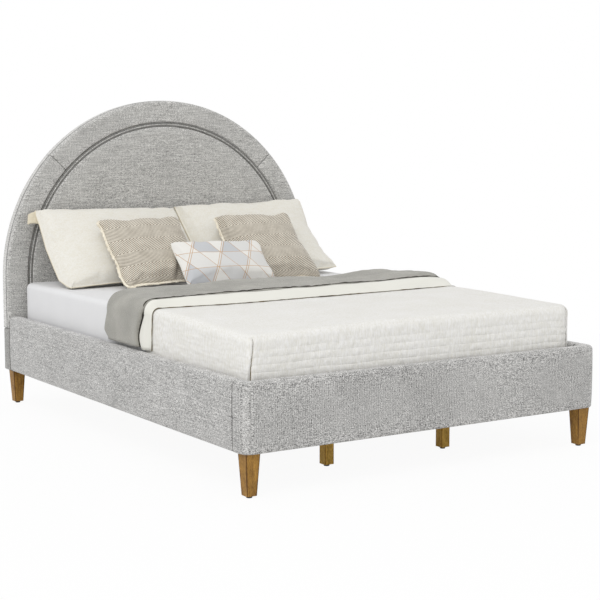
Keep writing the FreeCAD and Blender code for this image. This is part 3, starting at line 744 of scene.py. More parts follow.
def welts():
    """Two fabric-covered piping cords side by side between the border and the panel. Their flange
    closes the seam behind them, and its fold shows between them. The flange is dark cloth that
    paints the shade in the grooves beside the cords.
    """
    stations = np.linspace(0, OUTLINE, int(OUTLINE / (5 * MM)) + 1)
    outer = RADIUS - BORDER_WIDTH
    cords = []
    for number in range(2):
        wobble = RANDOM.normal(0, 0.35 * MM, 60)
        wobble = np.interp(stations, np.linspace(0, stations[-1], 60), wobble)[:, None]
        radius = outer - CORD_RADIUS - number * CORD_PITCH + wobble
        cords.append(round_cord(stations, radius, HEAD_FRONT_Y + 6 * MM, CORD_RADIUS, 14))
    faces = tube_faces(*cords[0].shape[:2])
    faces += [[corner + cords[0].size // 3 for corner in face] for face in faces]
    piece = add_object("welts", np.array(cords), faces, "welt_fabric")
    stand_for(piece, "headboard_welts")
    middle = outer - CORD_RADIUS - CORD_PITCH / 2
    fold = round_cord(stations, middle, HEAD_FRONT_Y + 4.2 * MM, 2.7 * MM, 10)
    belongs_to(add_tube("welt_fold", fold, "headboard_fabric"), "headboard_welts")
    # The flange's dark cloth is painted shade in the grooves beside the cords.
    near, far = outer - 0.5 * MM, outer - CORD_PITCH - 2 * CORD_RADIUS + 0.5 * MM
    depths = HEAD_FRONT_Y + np.array([7, 7, 9, 9]) * MM
    flange = on_outline(stations, [near, far, far, near], depths)
    belongs_to(add_tube("welt_flange_shade", flange, "seam_shadow"), "headboard_welts")


def panel_pad():
    """Flat padded panel inside the piping, rolled under at its edge."""
    radius, low = PANEL_HIGH.x, SPLIT_Z + 0.5 * MM
    even, closer = np.linspace(0, 0.75, 48, endpoint=False), np.linspace(1, 0, 34) ** 1.5
    along = np.concatenate([even, 1 - 0.25 * closer])
    along *= ARCH_Z - low + math.pi / 2 * radius
    angle = np.clip((along - (ARCH_Z - low)) / radius, 0, math.pi / 2)
    heights = np.minimum(low + along, ARCH_Z) + radius * np.sin(angle)
    spread = np.sin(np.linspace(-math.pi / 2, math.pi / 2, 90))
    x = (radius * np.cos(angle))[:, None] * spread
    z = np.repeat(heights[:, None], len(spread), 1)
    edge = radius - np.hypot(x, np.maximum(z - ARCH_Z, 0))
    front = np.stack([x, np.full_like(x, HEAD_FRONT_Y), z], -1)
    front[..., 1] += rolled(edge, 8 * MM) + 1.5 * MM * dent(edge, 0.02)
    front[..., 1] += (rough(front, 0.3, 5) + 0.5) * 2.2 * MM * (1 - dent(edge, 0.05))
    back = front.copy()
    back[..., 1] = FACE_BOARD_Y - 0.4 * MM
    piece = add_object("panel_pad", *shell_mesh(front, back), "headboard_fabric")
    stand_for(piece, "headboard_panel_pad")


def lower_cover():
    """Upholstered lower piece, that the arch piece stands on."""
    low, top, half = LOWER_LOW.z, LOWER_HIGH.z - 0.3 * MM, RADIUS - 1 * MM
    near_edge = np.array([0, 0.7, 2, 4, 7, 12]) * MM
    between = np.linspace(low + 20 * MM, top - 20 * MM, 12)
    heights = np.concatenate([low + near_edge, between, top - near_edge[::-1]])
    front, back = HEAD_FRONT_Y + 1 * MM, HEAD_BACK_Y
    front_corners = [(-half, front, 9 * MM), (half, front, 9 * MM)]
    back_corners = [(half, back, 6 * MM), (-half, back, 6 * MM)]
    ring = rounded_outline(front_corners + back_corners, 25 * MM)
    inset = (rolled(heights - low, 5 * MM) + rolled(top - heights, 7 * MM))[:, None]
    middle, depth = (front + back) / 2, (back - front) / 2
    x = ring[:, 0] * (1 - inset / half)
    y = middle + (ring[:, 1] - middle) * (1 - inset / depth)
    points = np.stack([x, y, np.repeat(heights[:, None], len(ring), 1)], -1)
    stand_for(add_tube("lower_cover", points, "lower_fabric"), "headboard_lower_cover")


# ---------------------------------------------------------------- rails and footboard


def rail_section():
    """Section of a padded rail, soft at the top: inset from its outer face, height, and the inset
    once that face draws in towards its upper and lower edges.
    """
    width, bottom, top = RAIL_HIGH.x - RAIL_LOW.x, RAIL_LOW.z, RAIL_HIGH.z
    corners = [
        (0, bottom, 7 * MM),
        (0, top, 15 * MM),
        (width, top, 17 * MM),
        (width, bottom, 3 * MM),
    ]
    inset, height = rounded_outline(corners, 9 * MM).T
    off_middle = (height - (bottom + top) / 2) / ((top - bottom) / 2)
    outer = 1 - smooth_step(inset, 0, 25 * MM)
    return inset, height, inset + outer * 2.5 * MM * np.abs(off_middle) ** 4


def lowered(height, drop):
    """Heights of a rail's section where its top has dropped."""
    return height - drop * (height - RAIL_LOW.z) / (RAIL_HIGH.z - RAIL_LOW.z)


def outer_waves(points, inset, size, depth, seed):
    """How far a rail's outer face sinks, unevenly."""
    return (rough(points, size, seed) + 0.5) * depth * (1 - smooth_step(inset, 15 * MM, 40 * MM))


def settle_top(points, height, seed):
    """Lets a rail's top sink a little, unevenly."""
    top = smooth_step(height, RAIL_HIGH.z - 30 * MM, RAIL_HIGH.z)
    points[..., 2] -= (rough(points, 0.14, seed) + 0.5) * 1.4 * MM * top


def rail_cover(side, name):
    """Padded side rail, rounded over where it meets the headboard and the footboard's return."""
    across_it, height, inset = rail_section()
    start, end = RAIL_LOW.y + 0.3 * MM, RAIL_HIGH.y - 0.3 * MM
    roll = 11 * MM
    near_end = roll * np.array([0, 0.03, 0.1, 0.2, 0.35, 0.55, 0.8, 1.3])
    between = np.linspace(start + 2 * roll, end - 2 * roll, int((end - start) / (14 * MM)))
    y = np.concatenate([start + near_end, between, end - near_end[::-1]])[:, None]
    drop = rolled(y - start, 8 * MM) + rolled(end - y, 14 * MM)
    draw = rolled(y - start, 7 * MM) + rolled(end - y, 9 * MM)
    x = RAIL_HIGH.x - inset - draw * (1 - across_it / (RAIL_HIGH.x - RAIL_LOW.x))
    points = np.stack([x, np.broadcast_to(y, x.shape), lowered(height, drop)], -1)
    points[..., 0] -= outer_waves(points, across_it, 0.22, 1.6 * MM, 8 + side)
    settle_top(points, height, 9 + side)
    points[..., 0] *= side
    stand_for(add_tube(name, points, "frame_fabric"), name)
    # Dark cords in the grooves where the rail meets the footboard and the headboard: painted shade.
    add_cord(name + "_foot_seam_shade", points[2], 1.7 * MM, "seam_shadow", name)
    add_cord(name + "_head_seam_shade", points[-3], 4.2 * MM, "seam_shadow", name)


def round_the_foot(side, quarter, run):
    """Stations along the footboard, up one side, round both corners and down the other: their
    distance from the nearer end, and -1 or 1 for the left or the right of the bed, as columns.
    """
    total = 2 * side + 2 * quarter + run
    stations = np.concatenate(
        [
            side * np.array([0, 0.01, 0.03, 0.07, 0.13, 0.2, 0.3, 0.5]),
            side + quarter * np.linspace(0, 1, 13),
            side + quarter + np.linspace(15 * MM, run - 15 * MM, 110),
        ]
    )
    stations = np.unique(np.concatenate([stations, total - stations]).round(6))[:, None]
    return np.minimum(stations, total - stations), np.where(stations < total / 2, -1.0, 1.0)


def footboard_cover():
    """Padded footboard that turns round both corners, in one length of fabric."""
    across_it, height, inset = rail_section()
    half, front, back = FOOT_HIGH.x, FOOT_LOW.y, FOOT_HIGH.y - 0.3 * MM
    side, quarter = back - front - CORNER_RADIUS, CORNER_RADIUS * math.pi / 2
    run = 2 * (half - CORNER_RADIUS)
    end, hand = round_the_foot(side, quarter, run)
    turn = np.clip((end - side) / CORNER_RADIUS, 0, math.pi / 2)
    inset = inset + rolled(end, 8 * MM) * (1 - across_it / across_it.max())
    reach, beyond = np.maximum(CORNER_RADIUS - inset, 0), np.maximum(inset - CORNER_RADIUS, 0)
    along = np.maximum(end - side - quarter, 0)
    x = half - CORNER_RADIUS + np.cos(turn) * reach - beyond - along * (1 - beyond / (run / 2))
    y = front + CORNER_RADIUS - np.sin(turn) * reach + beyond
    y = y + np.maximum(side - end, 0) * (1 - beyond / side)
    points = np.stack([x * hand, y, lowered(height, rolled(end, 9 * MM))], -1)
    waves = outer_waves(points, across_it, 0.24, 1.8 * MM, 12)
    points[..., 0] -= hand * np.cos(turn) * waves
    points[..., 1] += np.sin(turn) * waves
    settle_top(points, height, 13)
    stand_for(add_tube("footboard_cover", points, "frame_fabric"), "footboard_cover")
    for name, (rows, ends) in from_both_ends(points, end[:, 0]):
        corner_dart("corner_dart_shade_" + name, rows, ends, 0.3 * side, 0.7 * side + 0.45 * quarter)


def from_both_ends(*grids):
    """The rows of some grids from their left end to the middle, and from their right end to it."""
    middle = len(grids[0]) // 2
    yield "left", [grid[:middle] for grid in grids]
    yield "right", [grid[:middle:-1] for grid in grids]


def corner_dart(name, points, end, start, run):
    """A short stitched dart that takes up the fabric at the top of a footboard corner. It drops as
    it goes round. Its dark cord paints the shade in the dart's crease.
    """
    line = []
    for t in np.linspace(0, 1, 9):
        around = points[np.abs(end - start - run * t).argmin()]
        outer = around[around[:, 2] < RAIL_HIGH.z - 5 * MM]
        height = RAIL_HIGH.z - (8 + 26 * t) * MM
        line.append(outer[np.abs(outer[:, 2] - height).argmin()])
    add_cord(name, line, 0.9 * MM, "seam_shadow", "footboard_cover", closed=False)


# ---------------------------------------------------------------- mattress and sheet


def rounded_loop(half, foot, head, corner, inset, counts):
    """Points round a rounded rectangle inset from its outline. counts, how many are on an end, a
    side and a corner, holds for any inset.
    """
    margin, radius = max(corner, inset), max(corner - inset, 0)
    x, low, high = max(half - margin, 0), foot + margin, head - margin
    arcs = []
    for number, centre in enumerate([(-x, low), (x, low), (x, high), (-x, high)]):
        angle = math.pi + number * math.pi / 2 + np.linspace(0, math.pi / 2, counts[2])
        arcs.append(np.array(centre) + radius * np.column_stack([np.cos(angle), np.sin(angle)]))
    points = []
    for number, count in enumerate(counts[:2] * 2):
        here, ahead = arcs[number], arcs[(number + 1) % 4]
        points += [here, np.linspace(here[-1], ahead[0], count + 2)[1:-1]]
    return np.concatenate(points)


def side_profile(bottom, top, edge, reach, drop_steps, top_steps):
    """(inset, height) rows up a side, over its rounded edge and in across the top. drop_steps are
    the heights of those on the side, and reach is how far in the top goes, in top_steps rows.
    """
    turn = np.linspace(0, math.pi / 2, 9)
    drop = [(0.0, z) for z in drop_steps if bottom <= z < top - edge]
    over = [(edge * (1 - math.cos(a)), top - edge + edge * math.sin(a)) for a in turn]
    flat = [(edge + (reach - edge) * t, top) for t in np.linspace(0, 1, top_steps + 1)[1:]]
    return np.array(drop + over + flat)


def stacked(profile, loop_at):
    """A grid of points, along a loop and up a profile. loop_at gives the loop for an inset."""
    loops = []
    for inset, z in profile:
        ring = loop_at(inset)
        loops.append(np.column_stack([ring, np.full(len(ring), z)]))
    return np.array(loops).transpose(1, 0, 2)


def slack(x, y):
    """How far the mattress and what lies over it have settled at the foot end."""
    all_over, left_corner, right_corner = 5, 15, 6
    at_corners = np.where(x < 0, left_corner, right_corner) * (x / MATTRESS_HIGH.x) ** 2
    return (all_over + at_corners) * MM * smooth_step(-y, 0.4, 1.05)


def mattress():
    """Mattress body with taped edges."""
    half, foot = MATTRESS_HIGH.x - 0.5 * MM, MATTRESS_LOW.y + 0.5 * MM
    head = MATTRESS_HIGH.y - 0.5 * MM
    low, high, edge = MATTRESS_LOW.z, MATTRESS_HIGH.z - 3 * MM, 22 * MM

    def loop_at(inset, z):
        ring = rounded_loop(half, foot, head, MATTRESS_CORNER, inset, (40, 54, 7))
        return np.column_stack([ring, z - slack(*ring.T) * smooth_step(z, high - 0.15, high)])

    turn = np.linspace(0, math.pi / 2, 8)
    start, end = edge * (1 - np.sin(turn)), edge * (1 - np.cos(turn))
    walls = np.linspace(low + edge, high - edge, 14)[1:-1]
    insets = np.concatenate([start, np.zeros(len(walls)), end])
    heights = np.concatenate([low + end, walls, high - start])
    points = np.array([loop_at(*place_on_side) for place_on_side in zip(insets, heights)])
    body = add_tube("mattress_body", points, "mattress_ticking")
    stand_for(body, "mattress")
    tape_turn, clear = 0.75, 1.2 * MM
    inset, drop = edge * (1 - math.cos(tape_turn)) + clear, edge * (1 - math.sin(tape_turn)) + clear
    add_cord("mattress_tape_lower", loop_at(inset, low + drop), 2 * MM, "webbing", "mattress")
    add_cord("mattress_tape_upper", loop_at(inset, high - drop), 2 * MM, "webbing", "mattress")
    return body


def fitted_sheet(body):
    """Sheet pulled over the mattress, nearly smooth, with its elastic hem under the edge."""
    half, foot, head = SHEET_HIGH.x, SHEET_LOW.y, SHEET_HIGH.y
    bottom, top = SHEET_LOW.z, SHEET_HIGH.z

    def loop_at(inset):
        return rounded_loop(half, foot, head, MATTRESS_CORNER + 1 * MM, inset, (60, 90, 9))

    hem = bottom + np.array([0, 8, 20]) * MM
    steps = np.concatenate([hem, np.arange(bottom + 40 * MM, top, 15 * MM)])
    profile = side_profile(bottom, top, 24 * MM, half, steps, 34)
    points = stacked(profile, loop_at)
    insets, heights = profile.T
    on_side = 1 - smooth_step(insets, 5 * MM, 30 * MM)
    near_hem = 1 - smooth_step(heights, bottom, bottom + 0.12)
    gathers = rough(points, 0.035, 20) * 3.0 * MM * near_hem
    folds = rough(points * [1, 1, 0.35], 0.12, 21) * 2.2 * MM
    draw = np.maximum(0.6 * MM - (gathers + folds) * on_side, 0) * on_side
    outward = points[..., :2] - loop_at(60 * MM)[:, None]
    outward /= np.maximum(np.linalg.norm(outward, axis=-1, keepdims=True), 1e-6)
    points[..., :2] -= outward * draw[..., None]
    points[..., 2] += (rough(points, 0.2, 22) - 0.4) * 2.0 * MM * (1 - on_side)
    points[..., 2] -= slack(points[..., 0], points[..., 1]) * smooth_step(heights, top - 0.15, top)
    faces = grid_quads(*points.shape[:2], wrap_rows=True).tolist()
    piece = add_object("fitted_sheet", points, faces, "white_sheet")
    stand_for(with_thickness(piece, 0.9 * MM), "fitted_sheet")


# ---------------------------------------------------------------- quilt, cuff and blanket


def quilt_loop(half, foot, corners, inset, counts):
    """Points down the quilt's left side, round the foot and up its right side, from its head line
    to its head line. corners holds its left and right corner radii.
    """
    end_count, side_count, corner_count = counts
    angle = np.linspace(0, math.pi / 2, corner_count)
    sides = []
    for hand, corner in zip((-1, 1), corners):
        margin, radius = max(corner, inset), max(corner - inset, 0)
        centre = max(half - margin, 0)
        x, y = hand * (centre + radius * np.cos(angle)), foot + margin - radius * np.sin(angle)
        arc = np.column_stack([x, y])
        start = (x[0], across(QUILT_LINE, x[0]) - 1 * MM)
        sides.append(np.concatenate([np.linspace(start, arc[0], side_count + 1)[:-1], arc]))
    left, right = sides
    end = np.linspace(left[-1], right[-1], end_count + 2)[1:-1]
    return np.concatenate([left, end, right[::-1]])


def quilt_rows(bottom, shown, top, pitch):
    """Heights of the quilt's mesh rows on its drop: close together about each row of stitching."""
    across_row = np.array([0, 1.3, 3.2, 6.5, 10, 13.5, 17, 20.5, 23.8, 25.7]) / 27 * pitch
    count = math.ceil((top - shown) / pitch) + 1
    heights = np.sort((top - pitch * np.arange(1, count + 1)[:, None] + across_row).ravel())
    return np.concatenate([np.linspace(bottom, heights[0], 4, endpoint=False), heights])


def stitching(points, down, pitch):
    """How deep the rows of stitching draw the quilt in, at this distance down its drop: deeper
    towards its lower edge.
    """
    down = down + rough(points * [1, 1, 0], 0.07, 35) * 1.5 * MM
    rows = 1 - np.abs(np.sin(math.pi * down / pitch)) ** 0.5
    depth = 2.2 * MM * (0.8 + 0.6 * rough(points, 0.05, 36))
    return rows * depth * smooth_step(down, -10 * MM, 60 * MM)


def crinkles(points, foot_share):
    """The quilt's small creases, upright on its foot drop and level elsewhere, over slow swells."""
    upright = rough(points * [1, 1, 0.3], 0.013, 31) * 2.4 * MM * foot_share
    level = rough(points * [1, 0.3, 1.6], 0.016, 32) * 1.5 * MM * (1 - foot_share)
    swell = np.maximum(rough(points, 0.22, 33) + 0.4, 0) * 3.0 * MM
    return upright + level + rough(points * [1, 1, 2.2], 0.04, 30) * 1.2 * MM + swell


def quilt():
    """Quilt over the foot end, tucked in all round, with mitred corners and rows of stitching."""
    half, foot, top, bottom = QUILT_HIGH.x, QUILT_LOW.y, QUILT_HIGH.z, QUILT_LOW.z
    edge, pitch, shown, corners = 30 * MM, 30 * MM, RAIL_HIGH.z - 8 * MM, (34 * MM, 78 * MM)
    rows = quilt_rows(bottom, shown, top - edge, pitch)
    profile = side_profile(bottom, top, edge, half, rows, 44)
    points = stacked(profile, lambda inset: quilt_loop(half, foot, corners, inset, (270, 70, 36)))
    insets, heights = profile.T
    ahead = unit(np.gradient(points[:, 0, :2], axis=0))
    outward = np.column_stack([ahead[:, 1], -ahead[:, 0]])
    facing_foot = smooth_step(-outward[:, 1], 0.3, 0.8)[:, None]
    on_side = 1 - smooth_step(insets, 3 * MM, edge)
    x, y, z = points[..., 0], points[..., 1], points[..., 2]
    behind, step = mitre(x, y, z, half, foot, shown, top)
    stitched = stitching(points, top - edge - z, pitch) * facing_foot * behind * on_side
    unevenness = crinkles(points, facing_foot * on_side) * np.where(on_side > 0.5, 0.9, 0.45)
    sink = stitched + unevenness + step * on_side
    points[..., :2] -= outward[:, None] * (sink * on_side)[..., None]
    points[..., 2] -= sink * (1 - on_side)
    # The rows of stitching rise and fall a little along the bed.
    rise = rough(points * [1, 1, 0], 0.2, 34) * 4 * MM * on_side
    points[..., 2] += rise * smooth_step(z, shown, shown + 0.03)
    points[..., 2] -= slack(x, y) * smooth_step(z, shown, top)
    mitre_shadow_lines(points, behind * facing_foot, (heights > shown - 10 * MM) & (insets < 9 * MM))
    piece = add_object("quilt", points, grid_quads(*points.shape[:2]).tolist(), "quilt_cotton")
    stand_for(with_thickness(piece, 5 * MM), "quilt")


def mitre_shadow_lines(points, behind, upright):
    """A dark cord that paints the shadow under each mitre's fold, wider towards its lower end.
    upright marks the rows it crosses.
    """
    rows = np.flatnonzero(upright & (behind[: len(points) // 2].max(0) > 0.5))
    swell = np.linspace(1.0, 0.35, len(rows))
    for side, (half, hidden) in from_both_ends(points, behind):
        line = np.array([half[(hidden[:, row] > 0.5).argmax(), row] for row in rows])
        line[:, 1] -= 0.4 * MM
        name = "mitre_shadow_" + side
        add_cord(name, line, 1.9 * MM, "trim_cord", "quilt", closed=False, swell=swell)


def mitre(x, y, z, half, foot, low, high):
    """The mitre's folds, which slant away from the corners as they rise.

    Gives where the foot drop lies behind a fold, as 0 or 1, and how deep.
    """
    fold = 2 * MM + 13 * MM * smooth_step(z, low - 0.02, high)
    past_fold = half - np.abs(x) - fold
    behind = smooth_step(past_fold, -0.6 * MM, 0.9 * MM)
    rolled_edge = dent(past_fold + 4 * MM, 3.5 * MM)
    at_foot = smooth_step(foot + 36 * MM - y, 0, 8 * MM)
    tail = np.exp(-np.maximum(past_fold, 0) / 0.12)
    depth = 9 * MM * behind * (0.3 + 0.7 * tail) - 1.5 * MM * rolled_edge
    return behind * at_foot, at_foot * depth


def over_the_bed(half, top, edge, bottom, spacing):
    """A line that goes up the left side, over the bed and down the right side, as columns: distance
    from its nearer end, X, Z, and the X and Z of the way out of the bed.
    """
    drop, quarter, run = top - edge - bottom, edge * math.pi / 2, 2 * (half - edge)
    total = 2 * drop + 2 * quarter + run
    side = np.linspace(0, drop, int(drop / spacing) + 2)
    corner = drop + quarter * np.linspace(0, 1, 10)
    over = np.linspace(drop + quarter, total - drop - quarter, int(run / spacing))
    stations = np.concatenate([side, corner, over, total - corner, total - side])
    stations = np.unique(stations.round(6))[:, None]
    end = np.minimum(stations, total - stations)
    hand = np.where(stations < total / 2, -1.0, 1.0)
    turn = np.clip((end - drop) / edge, 0, math.pi / 2)
    x = half - edge + edge * np.cos(turn) - np.maximum(end - drop - quarter, 0)
    z = bottom + np.minimum(end, drop) + edge * np.sin(turn)
    return end, x * hand, z, np.cos(turn) * hand, np.sin(turn)


def laid_over(path, front, width, along, above):
    """A closed section carried over the bed. along runs from 0 at the front line to 1 at the back
    edge, and above is the height over the layer below.
    """
    _, x, z, out_x, out_z = path
    return np.stack([x + out_x * above, across(front, x) + width * along, z + out_z * above], -1)


def thickness_of(cad_high, half, top, out_z):
    """How thick a layer is beside the bed and on top of it, as in the CAD."""
    beside, over = cad_high.x - half, cad_high.z - top
    return beside + (over - beside) * out_z


def closed_under(along, height, under, gap):
    """Closes a section's upper face with a flat lower one, this far over the layer below."""
    flat = np.full((len(height), len(under)), gap)
    return np.concatenate([along, under]), np.concatenate([height, flat], 1)


def left_shoulder(x, z):
    """How far the line between the cuff and the blanket comes forward as it goes over the bed's
    left shoulder and down its side.
    """
    down = QUILT_HIGH.z - z
    waves = [(30 * MM, 0.0, 0.045), (-24 * MM, 0.12, 0.05), (28 * MM, 0.22, 0.045)]
    forward = sum(amount * dent(down - place_down, length) for amount, place_down, length in waves)
    return forward * dent(x + QUILT_HIGH.x, 0.09)


def cuff_section(full, width, out_z):
    """The cuff's section where it is this thick: along it, and above the quilt."""
    fold = 1 - 0.14 * (1 - np.sin(np.linspace(0.1, math.pi / 2, 9)))
    along = np.concatenate([[0], np.linspace(0, 0.86, 22), fold])
    lip, least = 3.4 * MM, 0.8 * MM
    height = lip + (full - lip) * smooth_step(along, 0.04, 0.72) - 1.5 * MM
    height = height - rolled((1 - along) * width, (6 + 9 * out_z) * MM) * (full / full.max())
    height = np.maximum(height, least)
    height[:, 0] = least
    return closed_under(along, height, np.linspace(1, 0, 8)[:-1], 0.6 * MM)


def cuff():
    """Turned-down top of the sheet: a thin lip over the quilt that rises to a soft rolled fold."""
    half, top = QUILT_HIGH.x, QUILT_HIGH.z
    path = over_the_bed(half, top, 28 * MM, CUFF_LOW.z, 14 * MM)
    end, x, z, out_x, out_z = path
    width = QUILT_LINE[0] - CUFF_LINE[0] - 1.5 * MM
    along, above = cuff_section(thickness_of(CUFF_HIGH, half, top, out_z), width, out_z)
    points = laid_over(path, CUFF_LINE, width, along, above)
    # Its front edge is drawn back towards the head at both ends.
    drawn_left = 58 * MM * (1 - smooth_step(end, 0.05, 0.6))
    drawn_right = 12 * MM * (1 - smooth_step(end, 0.02, 0.15))
    points[..., 1] += np.where(x < 0, drawn_left, drawn_right) * (1 - along)
    points[..., 1] -= left_shoulder(x, z) * along
    # It rises towards the right shoulder, and sinks again just before it.
    raised = smooth_step(x, 0.35, 0.6) * (1 - 1.8 * smooth_step(x, 0.64, 0.78)) * out_z
    points[..., 2] += 5 * MM * raised * smooth_step(above, 8 * MM, 25 * MM)
    lifted = smooth_step(above, 1 * MM, 6 * MM)
    # The stitching of its hem draws it in.
    hem = dent(along * width - 11 * MM, 1.6 * MM) * 1 * MM * lifted
    points[..., 0] -= out_x * hem
    points[..., 2] -= out_z * hem
    points[..., 2] += rough(points, 0.09, 40) * 2.4 * MM * lifted
    points[..., 1] += rough(points * [1, 0, 1], 0.11, 41) * 3.0 * MM
    piece = add_tube("top_sheet_cuff", points, "cuff_cotton")
    stand_for(piece, "top_sheet_cuff")
    trim = points[:, 1] + np.hstack([out_x, np.full_like(x, -1.0), out_z]) * 0.6 * MM
    swell = np.clip(1 + 1.4 * rough(trim, 0.03, 42), 0.45, 1.5)
    swell *= 1 - 0.8 * smooth_step(x[:, 0], 0.6, 0.75)
    add_cord("cuff_trim", trim, 1.4 * MM, "trim_cord", "top_sheet_cuff", closed=False, swell=swell)


def blanket_section(full, raised, width):
    """The blanket's section, this thick and raised behind its front edge: along it, and above the
    sheet.
    """
    fold = 1 - 0.16 * (1 - np.sin(np.linspace(0.15, math.pi / 2, 12)))
    along = np.concatenate([np.linspace(0, 0.05, 8), np.linspace(0.08, 0.84, 30), fold])
    full = full + raised * smooth_step(along, 0.1, 0.8)
    height = full - rolled(along * width, 12 * MM)
    deeper = 1.3
    back_fold = np.minimum(0.55 * full, 26 * MM)
    height -= rolled((1 - along) * width, deeper * back_fold) / deeper
    return closed_under(along, np.maximum(height, 1 * MM), np.linspace(1, 0, 12)[1:-1], 1 * MM)


def blanket():
    """Folded blanket laid across the bed, its back edge a thick soft fold, with a dark cord of
    painted shadow along its front.
    """
    half, top, bottom = SHEET_HIGH.x, SHEET_HIGH.z, BLANKET_LOW.z + 9 * MM
    path = over_the_bed(half, top, 26 * MM, bottom, 12 * MM)
    end, x, z, out_x, out_z = path
    width = across(BLANKET_LINE, x) - across(QUILT_LINE, x) - 2 * MM
    # Its back edge comes forward at the shoulders and at its lower ends.
    width -= 34 * MM * dent(end - (top - bottom) * 0.95, 0.06)
    width -= 44 * MM * (1 - smooth_step(end, 0, 0.04))
    # It lies thicker on the left, and dips to the right of the middle.
    raised = (5 - 11 * smooth_step(x, 0.0, 0.45) - 9 * dent(x - 0.42, 0.14)) * MM * out_z
    full = thickness_of(BLANKET_HIGH, half, top, out_z) - 2 * MM
    along, above = blanket_section(full, raised, width)
    points = laid_over(path, QUILT_LINE, width, along, above)
    points[..., 1] += 1.5 * MM - left_shoulder(x, z) * (1 - along)
    lifted = smooth_step(above, 4 * MM, 20 * MM)
    points[..., 2] += (rough(points, 0.18, 45) - 0.2) * 5.0 * MM * lifted * out_z
    # It stands up in a soft ridge at the right shoulder.
    shoulder = smooth_step(x, 0.4, 0.7) * smooth_step(above, 4 * MM, 16 * MM)
    shoulder = shoulder * smooth_step(along, 0.0, 0.1) * (1 - 0.6 * smooth_step(along, 0.3, 0.9))
    points[..., 2] += 16 * MM * shoulder
    points[..., 2] += rough(points, 0.035, 49) * 2.2 * MM * lifted * out_z
    points[..., 0] += (rough(points, 0.15, 46) - 0.3) * 4.0 * MM * lifted * out_x
    points[..., 1] += rough(points * [1, 0, 1], 0.14, 47) * 5.0 * MM * smooth_step(along, 0.3, 1.0)
    piece = add_tube("blanket", points, "blanket_wool")
    stand_for(piece, "blanket")
    blanket_shadow_line(points, x, out_x, out_z)


def blanket_shadow_line(points, x, out_x, out_z):
    """A dark cord along the blanket's front edge, on its upper corner where it lies level: painted
    shadow of the crevice where the blanket meets the cuff.
    """
    on_top = smooth_step(out_z, 0.3, 0.9)
    shadow_line = points[:, 3] * on_top + points[:, 0] * (1 - on_top)
    shadow_line += np.hstack([out_x, np.full_like(x, -0.5), out_z]) * (5.5 * on_top - 4.5) * MM
    shadow_line += RANDOM.normal(0, 0.5 * MM, shadow_line.shape)
    swell = np.clip(1 + 1.2 * rough(shadow_line, 0.03, 48), 0.5, 1.5)
    name = "blanket_shadow_line"
    add_cord(name, shadow_line, 1.9 * MM, "edging_yarn", "blanket", closed=False, swell=swell)


# ---------------------------------------------------------------- pillows and cushions


class Lean:
    """The place of a leaning cushion: its foot, length and half width, from its CAD node."""

    SINE, COSINE = math.sin(LEAN), math.cos(LEAN)
    EDGE = 15 * MM  # half the thickness of the CAD node at its edge

    def __init__(self, cad_node, up=0.0, aside=0.0, turn=0.0):
        """up moves the foot up the slope, and aside the cushion across the bed."""
        low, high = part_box(cad_node)
        self.node, self.turn = cad_node, turn
        self.foot_z = low.z + self.EDGE * self.COSINE
        self.length = (high.z - self.foot_z - self.EDGE * self.COSINE) / self.SINE
        self.foot_y = high.y - self.length * self.COSINE - self.EDGE * self.SINE
        self.middle = (low.x + high.x) / 2 + aside
        self.half = (high.x - low.x) / 2
        self.foot_y += up * self.COSINE
        self.foot_z += up * self.SINE
        self.length -= up

    def placed(self, points):
        """Points given as (across, up the slope, out of it), in the CAD frame."""
        sideways, up, above = points[..., 0], points[..., 1] - self.length / 2, points[..., 2]
        across_bed = sideways * math.cos(self.turn) + up * math.sin(self.turn)
        along = up * math.cos(self.turn) - sideways * math.sin(self.turn) + self.length / 2
        y = self.foot_y + along * self.COSINE - above * self.SINE
        z = self.foot_z + along * self.SINE + above * self.COSINE
        return np.stack([self.middle + across_bed, y, z], -1)

    def pointed(self, ways):
        """The same for directions."""
        return self.placed(ways) - self.placed(np.zeros(3))


def pillow_grids(half, length, thickness, steps, pinch, flange, plump, corner, meeting=0):
    """Front and back grids of a stuffed rectangle, flat: across, along and out of it.

    pinch is how far its sides draw in between the corners, as a share of its half width. flange is
    the width of its flat border. A larger plump fills it nearer to its edges. corner rounds its
    corners, less on the side meeting, -1 or 1, that lies against another pillow.
    """
    # The rows and columns lie closer together towards the edges.
    closer = 0.47
    turns = [np.linspace(-1, 1, count) * math.pi * closer for count in steps]
    shares = [np.sin(turn) / math.sin(math.pi * closer) for turn in turns]
    p, q = np.meshgrid(*shares, indexing="ij")
    cut = 1 - corner * (p * q) ** 10 * np.where(p * meeting > 0, 0.25, 1.0)
    x = half * p * (1 - pinch * (1 - q**2)) * cut
    s = length / 2 * (1 + q * (1 - pinch * (1 - p**2)) * cut)
    inner_p = np.clip(np.abs(p) * half / (half - flange), 0, 1)
    inner_q = np.clip(np.abs(q) * length / (length - 2 * flange), 0, 1)
    crown = ((1 - inner_p**plump) * (1 - inner_q**plump)) ** 0.5
    depth = thickness / 2 * crown + 0.9 * MM
    return np.stack([x, s, depth], -1), np.stack([x, s, -depth], -1)


def rim_of(grid):
    return grid.reshape(-1, 3)[edge_of(grid)]


